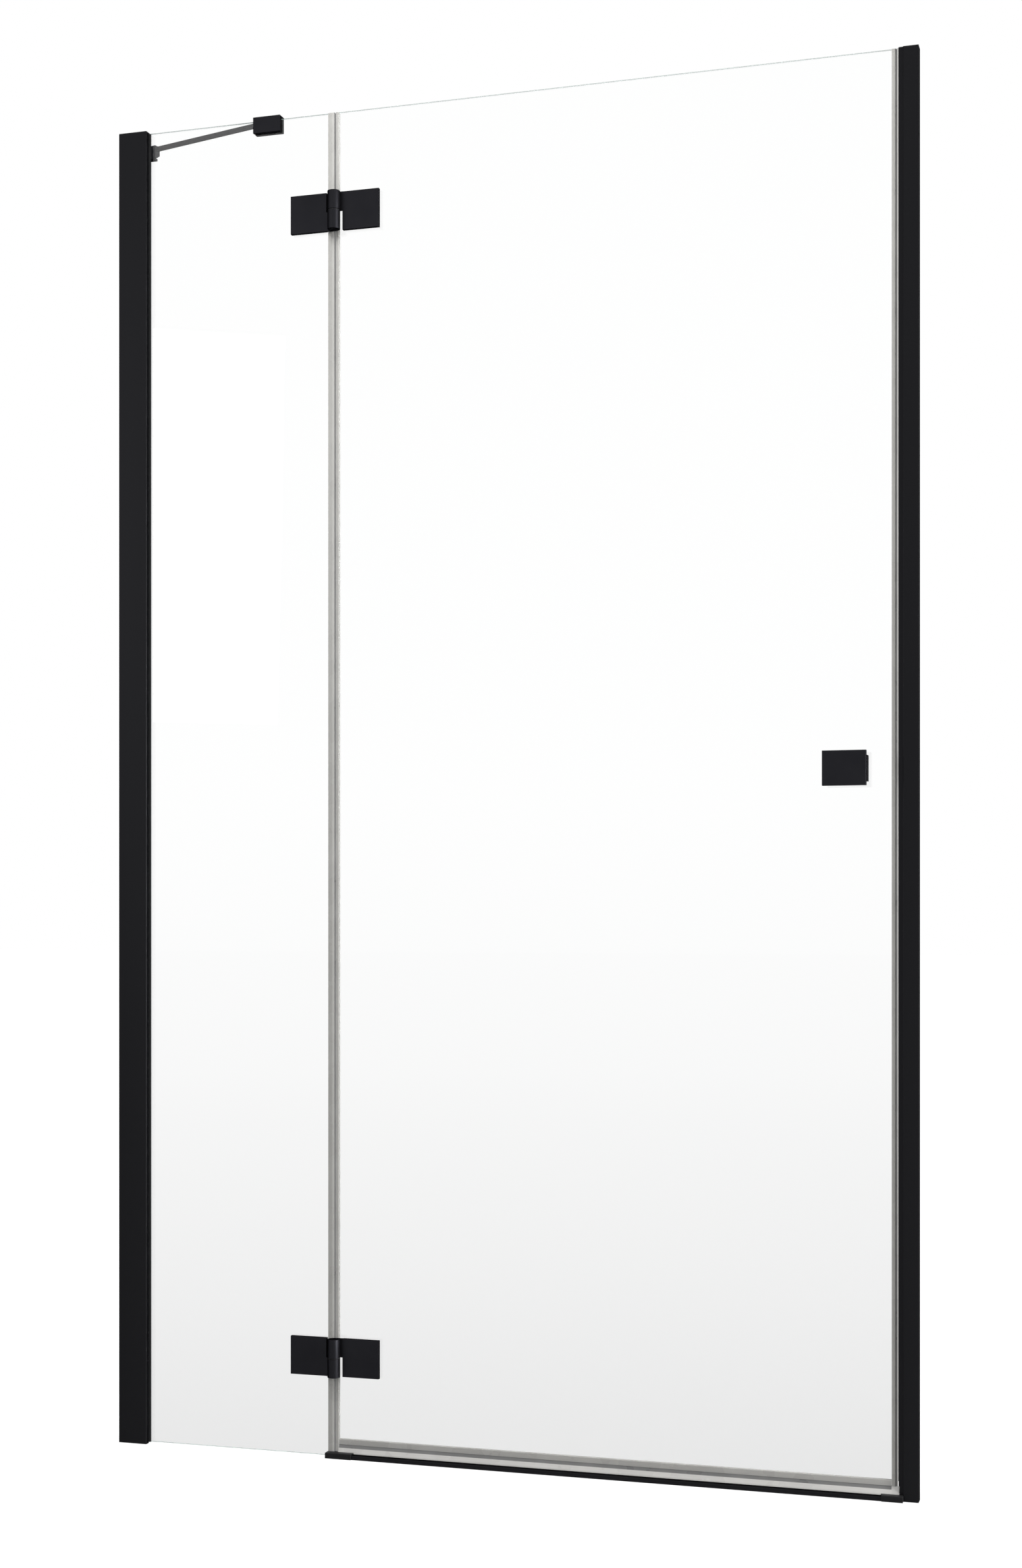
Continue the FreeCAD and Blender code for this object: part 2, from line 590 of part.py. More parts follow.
def fixed_glass():
    """Fixed pane with countersunk holes."""
    start = POCKET_START + POCKET_END_GAP
    pane = box(start, FIXED_EDGE, -GLASS_FACE, GLASS_FACE, FIXED_GLASS_FLOOR_GAP, GLASS_TOP)
    places = leaf_fixing_places(PLATE_MIDDLES[-1])
    return drilled(pane, fixing_holes(places, LEAF_FIXING_FRONT_RADIUS, LEAF_FIXING_REAR_RADIUS))


def door_glass():
    """Door pane with countersunk holes."""
    pane = box(DOOR_EDGE, DOOR_FREE_EDGE, -GLASS_FACE, GLASS_FACE, DOOR_GLASS_FLOOR_GAP, GLASS_TOP)
    leaf_places = leaf_fixing_places(PLATE_MIDDLES[1])
    holes = fixing_holes(leaf_places, LEAF_FIXING_FRONT_RADIUS, LEAF_FIXING_REAR_RADIUS)
    holes += fixing_holes(knob_fixing_places(), KNOB_FIXING_FRONT_RADIUS, KNOB_FIXING_REAR_RADIUS)
    return drilled(pane, holes)


def hinge_leaf(centre, side):
    """Leaf plate with its knuckle; side is -1 for the fixed leaf and 1 for the door leaf."""
    half = HINGE_HEIGHT / 2
    left, right = PLATES[side]
    near_end = right if side < 0 else left
    plate = box(left, right, LEAF_FRONT, LEAF_BACK, centre - half, centre + half)
    plate = round_front(plate, EDGE_RADIUS, LEAF_FRONT)
    low, high = sorted((centre + side * PARTING / 2, centre + side * half))
    bridge_left, bridge_right = sorted((near_end + side * EDGE_RADIUS, AXIS_X))
    bridge = box(bridge_left, bridge_right, LEAF_FRONT, BRIDGE_BACK, low, high)
    barrel = rod_z(KNUCKLE_RADIUS, low, high, AXIS_X, AXIS_Y)
    barrel = rounded_barrel(barrel, centre + side * half)
    bore_end = centre + side * (half - KNUCKLE_END_WALL)
    bore_low, bore_high = sorted((centre, bore_end))
    bore_radius = PIN_RADIUS + TOUCH_CLEARANCE if side < 0 else BUSH_RADIUS + TOUCH_CLEARANCE
    bore = rod_z(bore_radius, bore_low, bore_high, AXIS_X, AXIS_Y)
    places = leaf_places_at(centre, side)
    return drilled(joined([plate, bridge, barrel]), [bore] + tapped_holes(places, LEAF_BACK))


def rounded_barrel(barrel, end):
    """Knuckle with a small round on its outer end."""
    rims = [edge for edge in barrel.Edges if edge.Closed and near(edge.Vertexes[0].Point.z, end)]
    return barrel.makeFillet(EDGE_RADIUS, rims)


def hinge_pin(centre):
    """Pin fixed in the lower knuckle and turning in the bush of the upper one."""
    reach = HINGE_HEIGHT / 2 - KNUCKLE_END_WALL
    return rod_z(PIN_RADIUS, centre - reach, centre + reach - PIN_END_GAP, AXIS_X, AXIS_Y)


def hinge_bush(centre):
    """Plain bush inside the upper knuckle."""
    low = centre + PARTING / 2
    high = centre + HINGE_HEIGHT / 2 - KNUCKLE_END_WALL
    outer = rod_z(BUSH_RADIUS, low, high, AXIS_X, AXIS_Y)
    return outer.cut(rod_z(PIN_RADIUS + PIN_RUNNING_CLEARANCE, low, high, AXIS_X, AXIS_Y))


def hinge_washer(centre):
    """Thrust washer on the lower knuckle."""
    low = centre - PARTING / 2
    outer = rod_z(KNUCKLE_RADIUS - WASHER_INSET, low, low + WASHER_THICKNESS, AXIS_X, AXIS_Y)
    return outer.cut(rod_z(PIN_RADIUS + TOUCH_CLEARANCE, low, low + WASHER_THICKNESS, AXIS_X, AXIS_Y))


def leaf_gasket(centre, side):
    """Gasket behind a leaf plate."""
    half = HINGE_HEIGHT / 2
    left, right = PLATES[side]
    places = leaf_places_at(centre, side)
    return hardware_gasket(left, right, centre - half, centre + half, LEAF_BACK, places)


def fixed_edge_seal():
    """Clip seal on the fixed pane's free edge, with a rear fin across the joint."""
    start = FIXED_EDGE - FIXED_SEAL_LEG
    fin_end = DOOR_SEAL_START - BODY_CLEARANCE
    low, high = FIXED_GLASS_FLOOR_GAP, GLASS_TOP
    clip = box(start, FIXED_SEAL_END, -SEAL_FACE, SEAL_FACE, low, high)
    clip = round_upright(clip, FIXED_SEAL_ROUND, FIXED_SEAL_END, (-SEAL_FACE,))
    fin_low = SILL_CAP_TOP + SLIDE_CLEARANCE
    fin = box(FIXED_SEAL_END, fin_end, SEAL_FACE - SEAL_FIN_THICKNESS, SEAL_FACE, fin_low, high)
    slot = box(start, FIXED_EDGE, -GLASS_FACE, GLASS_FACE, low, high)
    return joined([clip, fin]).cut(slot)


def door_hinge_seal():
    """Clip seal on the door's hinge edge, which runs on below the pane to the sill's cap."""
    end = DOOR_EDGE + DOOR_SEAL_LEG
    low, high = SILL_CAP_TOP + WIPER_TOUCH_GAP, GLASS_TOP
    clip = box(DOOR_SEAL_START, end, -SEAL_FACE, SEAL_FACE, low, high)
    clip = round_upright(clip, DOOR_SEAL_ROUND, DOOR_SEAL_START, (-SEAL_FACE, SEAL_FACE))
    slot = box(DOOR_EDGE, end, -GLASS_FACE, GLASS_FACE, low, high)
    return clip.cut(slot)


def closing_side_seal():
    """Clip seal on the door's free edge down to the wiper, with a flared lip towards the strike profile."""
    start = DOOR_FREE_EDGE - CLOSING_SEAL_LEG
    web_end = DOOR_FREE_EDGE + CLOSING_SEAL_WEB
    low, high = DOOR_GLASS_FLOOR_GAP - BOTTOM_SEAL_WEB, GLASS_TOP
    clip = box(start, DOOR_FREE_EDGE, -SEAL_FACE, SEAL_FACE, low, high)
    clip = round_upright(clip, CLOSING_SEAL_ROUND, DOOR_FREE_EDGE, (-SEAL_FACE, SEAL_FACE))
    web_half = GLASS_FACE + SEAL_WALL / 2
    web = box(DOOR_FREE_EDGE, web_end, -web_half, web_half, low, high)
    tip = STRIKE_FACE + CLOSING_LIP_PAST_STRIKE
    tip_front = -(GLASS_FACE + CLOSING_LIP_FORWARD)
    lip_root = -GLASS_FACE + CLOSING_LIP_FLARE
    lip = bar_z(
        [
            (web_end, lip_root),
            (tip, tip_front),
            (tip - CLOSING_LIP_BEVEL, tip_front + CLOSING_LIP_THICKNESS),
            (web_end, lip_root + CLOSING_LIP_THICKNESS),
        ],
        low,
        high,
    )
    slot = box(start, DOOR_FREE_EDGE, -GLASS_FACE, GLASS_FACE, low, high)
    return joined([clip.cut(slot), web, lip])


def bottom_seal():
    """Clip seal under the door with a wiper that slopes out to the sill and a drip fin inside."""
    leg_start = DOOR_EDGE + DOOR_SEAL_LEG + SEAL_END_GAP
    leg_end = DOOR_FREE_EDGE - CLOSING_SEAL_LEG - SEAL_END_GAP
    glass_low = DOOR_GLASS_FLOOR_GAP
    web_low = glass_low - BOTTOM_SEAL_WEB
    leg_top = glass_low + BOTTOM_SEAL_LEG
    legs = []
    for inner, outer in ((-SEAL_FACE, -GLASS_FACE), (GLASS_FACE, SEAL_FACE)):
        legs.append(box(leg_start, leg_end, inner, outer, web_low, leg_top))
    web = box(leg_start, leg_end, -GLASS_FACE, GLASS_FACE, web_low, glass_low)
    tip_low = SILL_HEIGHT + WIPER_TOUCH_GAP
    tip_front = -(GLASS_FACE + WIPER_REACH)
    root = -GLASS_FACE
    wiper_end = STRIKE_FACE + WIPER_END_PAST_STRIKE
    wiper = bar_x(
        [
            (root, web_low),
            (tip_front, tip_low),
            (tip_front + WIPER_THICKNESS, tip_low),
            (root + WIPER_THICKNESS, web_low),
        ],
        leg_start,
        wiper_end,
    )
    cap_clear = SILL_CAP_TOP + WIPER_TOUCH_GAP
    left_cap_end = SILL_LEFT + SILL_LEFT_CAP_LENGTH + WIPER_CAP_MARGIN
    right_cap_start = SILL_RIGHT - SILL_RIGHT_CAP_LENGTH - WIPER_CAP_MARGIN
    over_caps = [
        box(leg_start, left_cap_end, tip_front, GLASS_FACE, 0, cap_clear),
        box(right_cap_start, wiper_end, tip_front, GLASS_FACE, 0, cap_clear),
    ]
    fin_root = GLASS_FACE - WIPER_THICKNESS
    fin_tip = GLASS_FACE + DRIP_FIN_REACH
    fin = bar_x(
        [
            (fin_root, web_low),
            (GLASS_FACE, web_low),
            (fin_tip, web_low - DRIP_FIN_DROP),
            (fin_tip - WIPER_THICKNESS, web_low - DRIP_FIN_DROP),
        ],
        leg_start,
        leg_end,
    )
    return joined(legs + [web, drilled(wiper, over_caps), fin])


def sill_section(margin):
    """Outline of the sill in (y, z), grown by a margin at the front, top and rear."""
    front = -(SILL_FRONT + margin)
    top = SILL_HEIGHT + margin
    return [
        (front, 0),
        (front, top - SILL_BEVEL),
        (front + SILL_BEVEL, top),
        (SILL_CREST, top),
        (SILL_REAR + margin, SILL_REAR_HEIGHT + margin),
        (SILL_REAR + margin, 0),
    ]


def pane_clearance():
    """Space around the fixed pane and its edge seal that the sill and its cap leave free."""
    back = SILL_REAR + 2 * SILL_CAP_WALL
    front = -(SEAL_FACE + SLIDE_CLEARANCE)
    return box(SILL_LEFT, FIXED_SEAL_END + SLIDE_CLEARANCE, front, back, 0, GLASS_TOP)


def profile_clearance():
    """Space that the sill and its right cap leave free for the right wall profile."""
    back = SILL_REAR + 2 * SILL_CAP_WALL
    front = -(RIGHT_HALF_DEPTH + SLIDE_CLEARANCE)
    return box(RIGHT_FACE_START - SLIDE_CLEARANCE, RIGHT_WALL, front, back, 0, GLASS_TOP)


def threshold_strip():
    """Low sill under the door."""
    strip = bar_x(sill_section(0), SILL_LEFT + SILL_CAP_WALL, SILL_RIGHT - SILL_CAP_WALL)
    return drilled(strip, [pane_clearance(), profile_clearance()])


def threshold_cap(start, end, hollow_start, hollow_end):
    """End cap that slips over the sill."""
    shell = bar_x(sill_section(SILL_CAP_WALL), start, end)
    hollow = bar_x(sill_section(TOUCH_CLEARANCE), hollow_start, hollow_end)
    return drilled(shell, [hollow, pane_clearance(), profile_clearance()])


def threshold_left_cap():
    """Cap beside the fixed pane."""
    end = SILL_LEFT + SILL_LEFT_CAP_LENGTH
    return threshold_cap(SILL_LEFT, end, SILL_LEFT + SILL_CAP_WALL, end)


def threshold_right_cap():
    """Cap in front of the right wall profile."""
    start = SILL_RIGHT - SILL_RIGHT_CAP_LENGTH
    return threshold_cap(start, SILL_RIGHT, start, SILL_RIGHT - SILL_CAP_WALL)


def knob():
    """Pull plate on a foot at its closing side, leaving a finger gap behind the plate."""
    half = KNOB_HEIGHT / 2
    low, high = KNOB_CENTRE_HEIGHT - half, KNOB_CENTRE_HEIGHT + half
    plate_back = KNOB_FRONT + KNOB_PLATE
    plate = box(KNOB_LEFT, KNOB_RIGHT, KNOB_FRONT, plate_back, low, high)
    plate = round_front(plate, EDGE_RADIUS, KNOB_FRONT)
    foot_half = KNOB_FOOT_HEIGHT / 2
    foot_low, foot_high = KNOB_CENTRE_HEIGHT - foot_half, KNOB_CENTRE_HEIGHT + foot_half
    foot = box(KNOB_RIGHT - KNOB_FOOT_WIDTH, KNOB_RIGHT, plate_back, KNOB_BACK, foot_low, foot_high)
    return drilled(joined([plate, foot]), tapped_holes(knob_fixing_places(), KNOB_BACK))


def knob_gasket():
    """Gasket under the knob's foot."""
    half = KNOB_FOOT_HEIGHT / 2
    left = KNOB_RIGHT - KNOB_FOOT_WIDTH
    low, high = KNOB_CENTRE_HEIGHT - half, KNOB_CENTRE_HEIGHT + half
    return hardware_gasket(left, KNOB_RIGHT, low, high, KNOB_BACK, knob_fixing_places())


def brace_block(start, end, width, height, clearance):
    """Block along the brace between two distances from its entry in the clamp, towards the wall."""
    across = Vector(-BAR_ALONG.y, BAR_ALONG.x, 0)
    half_width = width / 2 + clearance
    half_height = height / 2 + clearance
    corners = []
    for along, side in ((start, -1), (end, -1), (end, 1), (start, 1)):
        corner = BAR_ENTRY + BAR_ALONG * along + across * (side * half_width)
        corners.append((corner.x, corner.y))
    return bar_z(corners, BAR_MIDDLE_HEIGHT - half_height, BAR_MIDDLE_HEIGHT + half_height)


def stabiliser_bar():
    """Flat bar from the clamp to the swivel at the wall."""
    return brace_block(-BAR_SOCKET_DEPTH, SWIVEL_FACE + BAR_SOCKET_DEPTH, BAR_THICKNESS, BAR_HEIGHT, 0)


def bar_sockets():
    """Tool for the sockets that take both ends of the bar."""
    depth = BAR_SOCKET_DEPTH + TOUCH_CLEARANCE
    return brace_block(-depth, SWIVEL_FACE + depth, BAR_THICKNESS, BAR_HEIGHT, TOUCH_CLEARANCE)


def bar_swivel():
    """Eye on the wall end of the bar, standing on the flange's shelf."""
    across = Vector(-BAR_ALONG.y, BAR_ALONG.x, 0) * (SWIVEL_WIDTH / 2)
    outline = []
    for along, side in ((SWIVEL_FACE, -1), (BAR_RUN, -1), (BAR_RUN, 1), (SWIVEL_FACE, 1)):
        corner = BAR_ENTRY + BAR_ALONG * along + across * side
        outline.append((corner.x, corner.y))
    block = bar_z(outline, SHELF_TOP, FLANGE_TOP)
    lower_edge = []
    for edge, a, b in open_edges(block):
        low = near(a.z, SHELF_TOP) and near(b.z, SHELF_TOP)
        if low and min(a.x, b.x) > PIVOT.x:
            lower_edge.append(edge)
    block = block.makeChamfer(SWIVEL_CHAMFER, lower_edge)
    eye = rod_z(SWIVEL_WIDTH / 2, SHELF_TOP, FLANGE_TOP, PIVOT.x, PIVOT.y)
    hole_top = SHELF_TOP + PIVOT_SCREW_GRIP + TOUCH_CLEARANCE
    hole = rod_z(PIVOT_SCREW_RADIUS + TOUCH_CLEARANCE, SHELF_TOP, hole_top, PIVOT.x, PIVOT.y)
    return drilled(joined([block, eye]), [hole, bar_sockets()])


def bar_wall_flange():
    """Wall plate with a shelf that carries the bar's swivel."""
    half_width = FLANGE_WIDTH / 2
    plate_end = LEFT_WALL + FLANGE_PLATE
    left, right = PIVOT.y - half_width, PIVOT.y + half_width
    plate = box(LEFT_WALL, plate_end, left, right, FLANGE_BOTTOM, FLANGE_TOP)
    shelf_half = SHELF_WIDTH / 2
    shelf_end = LEFT_WALL + SHELF_REACH
    shelf = box(LEFT_WALL, shelf_end, PIVOT.y - shelf_half, PIVOT.y + shelf_half, FLANGE_BOTTOM, SHELF_TOP)
    shank = rod_z(PIVOT_SCREW_RADIUS + TOUCH_CLEARANCE, FLANGE_BOTTOM, SHELF_TOP, PIVOT.x, PIVOT.y)
    head_room = FLANGE_BOTTOM + PIVOT_SCREW_HEAD_HEIGHT
    head = rod_z(PIVOT_SCREW_HEAD_RADIUS + SLIDE_CLEARANCE, FLANGE_BOTTOM, head_room, PIVOT.x, PIVOT.y)
    holes = []
    for side in (-1, 1):
        y = PIVOT.y + side * FLANGE_HOLE_SPACING / 2
        holes.append(rod_x(FLANGE_HOLE_RADIUS, LEFT_WALL, plate_end, y, (FLANGE_BOTTOM + FLANGE_TOP) / 2))
    return drilled(joined([plate, shelf]), [shank, head] + holes)


def bar_pivot_screw():
    """Screw from below through the shelf into the swivel, tightened once the brace is set."""
    head_top = FLANGE_BOTTOM + PIVOT_SCREW_HEAD_HEIGHT
    shank = rod_z(PIVOT_SCREW_RADIUS, head_top, SHELF_TOP + PIVOT_SCREW_GRIP, PIVOT.x, PIVOT.y)
    head = rod_z(PIVOT_SCREW_HEAD_RADIUS, FLANGE_BOTTOM, head_top, PIVOT.x, PIVOT.y)
    drive = rod_z(FIXING_DRIVE_RADIUS, FLANGE_BOTTOM, FLANGE_BOTTOM + FIXING_DRIVE_DEPTH, PIVOT.x, PIVOT.y)
    return joined([shank, head]).cut(drive)


def clamp_screw_places():
    """Places of the clamp's set screws, clear of the bar's socket."""
    middle = CLAMP_MIDDLE + CLAMP_SCREW_SHIFT
    height = (CLAMP_BOTTOM + GLASS_TOP) / 2
    return [(middle + side * CLAMP_SCREW_SPACING / 2, height) for side in (-1, 1)]


def clamp_body():
    """Block that straddles the pane's top edge and holds the end of the brace."""
    right = CLAMP_LEFT + CLAMP_WIDTH
    block = box(CLAMP_LEFT, right, -CLAMP_FRONT, CLAMP_REAR, CLAMP_BOTTOM, CLAMP_TOP)
    block = round_front(block, EDGE_RADIUS, -CLAMP_FRONT)
    slot_top = GLASS_TOP + CLAMP_TOP_GAP
    slot = box(CLAMP_LEFT, right, -CLAMP_PAD_FACE, CLAMP_REAR_WALL, CLAMP_BOTTOM, slot_top)
    radius = CLAMP_SCREW_RADIUS + TOUCH_CLEARANCE
    holes = [rod_y(radius, CLAMP_REAR_WALL, CLAMP_REAR, x, z) for x, z in clamp_screw_places()]
    return drilled(block, [slot, bar_sockets()] + holes)


def clamp_pads():
    """Soft pads on both faces of the pane inside the clamp."""
    right = CLAMP_LEFT + CLAMP_WIDTH
    front = box(CLAMP_LEFT, right, -CLAMP_PAD_FACE, -GLASS_FACE, CLAMP_BOTTOM, GLASS_TOP)
    rear = box(CLAMP_LEFT, right, GLASS_FACE, CLAMP_PAD_FACE, CLAMP_BOTTOM, GLASS_TOP)
    return Part.Compound([front, rear])


def clamp_set_screws():
    """Set screws that press the rear pad against the pane."""
    screws = []
    for x, z in clamp_screw_places():
        screw = rod_y(CLAMP_SCREW_RADIUS, CLAMP_PAD_FACE, CLAMP_REAR, x, z)
        drive_start = CLAMP_REAR - CLAMP_SCREW_DRIVE_DEPTH
        screws.append(screw.cut(rod_y(CLAMP_SCREW_DRIVE_RADIUS, drive_start, CLAMP_REAR, x, z)))
    return Part.Compound(screws)


def lock_screw_depth(wall_half, channel_half):
    """Length of a lock screw from the profile's rear face to just past the inner wall."""
    return wall_half - channel_half + PROFILE_WALL + LOCK_SCREW_TIP


def wall_side_pieces():
    """Profiles, caps, gaskets and lock screws on both walls."""
    left_screw = LEFT_WALL + LEFT_LOCK_SCREW_FROM_WALL
    right_screw = RIGHT_WALL - RIGHT_LOCK_SCREW_FROM_WALL
    left_depth = lock_screw_depth(LEFT_HALF_DEPTH, CHANNEL_HALF)
    right_depth = lock_screw_depth(RIGHT_HALF_DEPTH, STRIKE_HALF)
    return {
        "left_wall_profile": left_wall_profile(),
        "left_glass_profile": left_glass_profile(),
        "left_top_cap": left_top_cap(),
        "left_fixing_screws": lock_screws(left_screw, LEFT_HALF_DEPTH, left_depth),
        "left_screw_covers": screw_covers(left_screw, LEFT_HALF_DEPTH),
        "fixed_glass_front_gasket": glazing_gasket(-1),
        "fixed_glass_rear_gasket": glazing_gasket(1),
        "right_wall_profile": right_wall_profile(),
        "right_strike_profile": right_strike_profile(),
        "right_top_cap": right_top_cap(),
        "right_fixing_screws": lock_screws(right_screw, RIGHT_HALF_DEPTH, right_depth),
        "right_screw_covers": screw_covers(right_screw, RIGHT_HALF_DEPTH),
    }


def glass_and_seal_pieces():
    """Panes, seals and sill."""
    return {
        "fixed_glass": fixed_glass(),
        "door_glass": door_glass(),
        "fixed_edge_seal": fixed_edge_seal(),
        "door_hinge_seal": door_hinge_seal(),
        "closing_side_seal": closing_side_seal(),
        "bottom_seal": bottom_seal(),
        "threshold_strip": threshold_strip(),
        "threshold_left_cap": threshold_left_cap(),
        "threshold_right_cap": threshold_right_cap(),
    }


def hinge_pieces():
    """Both hinges with their pins, bushes, washers and gaskets."""
    pieces = {}
    for place, centre in HINGE_CENTRES.items():
        pieces[f"{place}_hinge_fixed_leaf"] = hinge_leaf(centre, -1)
        pieces[f"{place}_hinge_door_leaf"] = hinge_leaf(centre, 1)
        pieces[f"{place}_hinge_pin"] = hinge_pin(centre)
        pieces[f"{place}_hinge_bush"] = hinge_bush(centre)
        pieces[f"{place}_hinge_washer"] = hinge_washer(centre)
        pieces[f"{place}_hinge_fixed_gasket"] = leaf_gasket(centre, -1)
        pieces[f"{place}_hinge_door_gasket"] = leaf_gasket(centre, 1)
    return pieces


def fixing_pieces():
    """Sleeves, discs and screws of the flush fixings, grouped by what they hold."""
    leaf = (LEAF_FIXING_FRONT_RADIUS, LEAF_FIXING_REAR_RADIUS)
    small = (KNOB_FIXING_FRONT_RADIUS, KNOB_FIXING_REAR_RADIUS)
    groups = [
        ("fixed_leaf", leaf_fixing_places(PLATE_MIDDLES[-1]), leaf, LEAF_BACK),
        ("door_leaf", leaf_fixing_places(PLATE_MIDDLES[1]), leaf, LEAF_BACK),
        ("knob", knob_fixing_places(), small, KNOB_BACK),
    ]
    pieces = {}
    for name, places, (front, rear), back in groups:
        pieces[f"{name}_sleeves"] = fixing_sleeves(places, front, rear)
        pieces[f"{name}_discs"] = fixing_discs(places, front, rear)
        pieces[f"{name}_screws"] = fixing_screws(places, back)
    return pieces


def hardware_pieces():
    """Knob, brace and clamp."""
    return {
        "knob": knob(),
        "knob_gasket": knob_gasket(),
        "stabiliser_bar": stabiliser_bar(),
        "bar_swivel": bar_swivel(),
        "bar_wall_flange": bar_wall_flange(),
        "bar_pivot_screw": bar_pivot_screw(),
        "clamp_body": clamp_body(),
        "clamp_pads": clamp_pads(),
        "clamp_set_screws": clamp_set_screws(),
    }


def build():
    """Makes every piece and writes it to its own file."""
    os.makedirs("parts", exist_ok=True)
    pieces = {}
    for make in (wall_side_pieces, glass_and_seal_pieces, hinge_pieces, fixing_pieces, hardware_pieces):
        pieces.update(make())
    for name, shape in pieces.items():
        shape.exportStep(f"parts/{name}.step")
        print(name, len(shape.Solids), "solids", round(shape.Volume / 1000, 2), "cm3", shape.isValid())


build()
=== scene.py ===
"""Dressed model of a hinged shower door: profiles, panes, seals, hinges, sill, brace and knob.

Frame: +X runs along the door, +Y points into the shower, +Z is up. Lengths are metres.
"""
import logging
import math
from dataclasses import dataclass, field
from enum import Enum
from typing import Iterable, Sequence

import bmesh
import bpy
import numpy as np
from bpy.types import Material, Mesh, Node, NodeSocket, NodeTree, Object
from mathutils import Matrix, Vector


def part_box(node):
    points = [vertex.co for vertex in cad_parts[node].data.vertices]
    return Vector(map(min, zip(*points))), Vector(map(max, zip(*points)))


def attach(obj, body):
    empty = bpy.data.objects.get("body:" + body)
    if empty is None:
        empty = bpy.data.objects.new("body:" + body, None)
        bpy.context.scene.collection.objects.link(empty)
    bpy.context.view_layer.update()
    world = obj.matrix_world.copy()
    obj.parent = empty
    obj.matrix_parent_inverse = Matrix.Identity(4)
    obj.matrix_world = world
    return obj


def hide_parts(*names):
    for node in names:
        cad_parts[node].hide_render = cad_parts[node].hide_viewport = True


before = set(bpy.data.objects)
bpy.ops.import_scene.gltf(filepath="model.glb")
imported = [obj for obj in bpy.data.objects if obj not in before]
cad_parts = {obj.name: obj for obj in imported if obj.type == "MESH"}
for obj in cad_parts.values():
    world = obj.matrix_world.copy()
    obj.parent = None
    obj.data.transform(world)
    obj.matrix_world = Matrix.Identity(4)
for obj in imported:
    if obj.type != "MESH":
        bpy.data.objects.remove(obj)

LOG = logging.getLogger("shower_door")
SHELL_WELD = 1e-7
NODE_WELD = 1e-6
FLAT_ANGLE = math.radians(0.5)
SHARP_ANGLE = math.radians(35.0)
BROKEN_EDGE_ANGLE = math.radians(40.0)
LATHE_SEGMENTS = 48
USUAL_NOISE = (0.3, 0.7)
SUDDEN_CHANGE = 0.00001

Colour = tuple[float, float, float]
Point = tuple[float, float, float]
Span = tuple[float, float]
LatheRow = tuple[float, float, float]
Number = NodeSocket | float


class Body(Enum):
    """Moving bodies of the door."""

    FRAME = "frame"
    DOOR = "door"


class Slot(Enum):
    """Material slots that the record names."""

    ALUMINIUM = "black_aluminium"
    HARDWARE = "black_hardware"
    GLASS = "clear_glass"
    SEAL = "clear_seal"
    RUBBER = "black_rubber"
    PLASTIC = "black_plastic"
    STEEL = "stainless_steel"
    DISC = "black_disc"
    ACETAL = "acetal"


class Axis(Enum):
    """Axis that a profile is carried along: the two columns of its section, then its own."""

    X = (1, 2, 0)
    Z = (0, 1, 2)


class Round(Enum):
    """Set-backs of the rounded corners on seals and gaskets."""

    CREASE = 0.0001
    FOLD = 0.00015
    FINE = 0.0002
    EASED = 0.0003
    TIP = 0.0004
    WEB = 0.0005
    NOSE = 0.0006
    JOINT = 0.0007


class Vinyl(Enum):
    """Tones of a seal's faces, by their finish number: plain vinyl, painted shade, and thinner, lighter
    vinyl with painted highlight.
    """

    LEG = 0
    # Painted shade: darker vinyl where shade falls, in joints, recesses and under legs and tips.
    WEB = 1
    # Thinner, lighter vinyl, which also serves as painted highlight on rounded and lit faces.
    LIP = 2


class Sum(Enum):
    """Sums of two numbers in a graph of light."""

    LESS = "SUBTRACT"
    TIMES = "MULTIPLY"
    OVER = "DIVIDE"
    POWER = "POWER"
    LARGER = "MAXIMUM"


SealRow = tuple[float, float, Round, Vinyl]


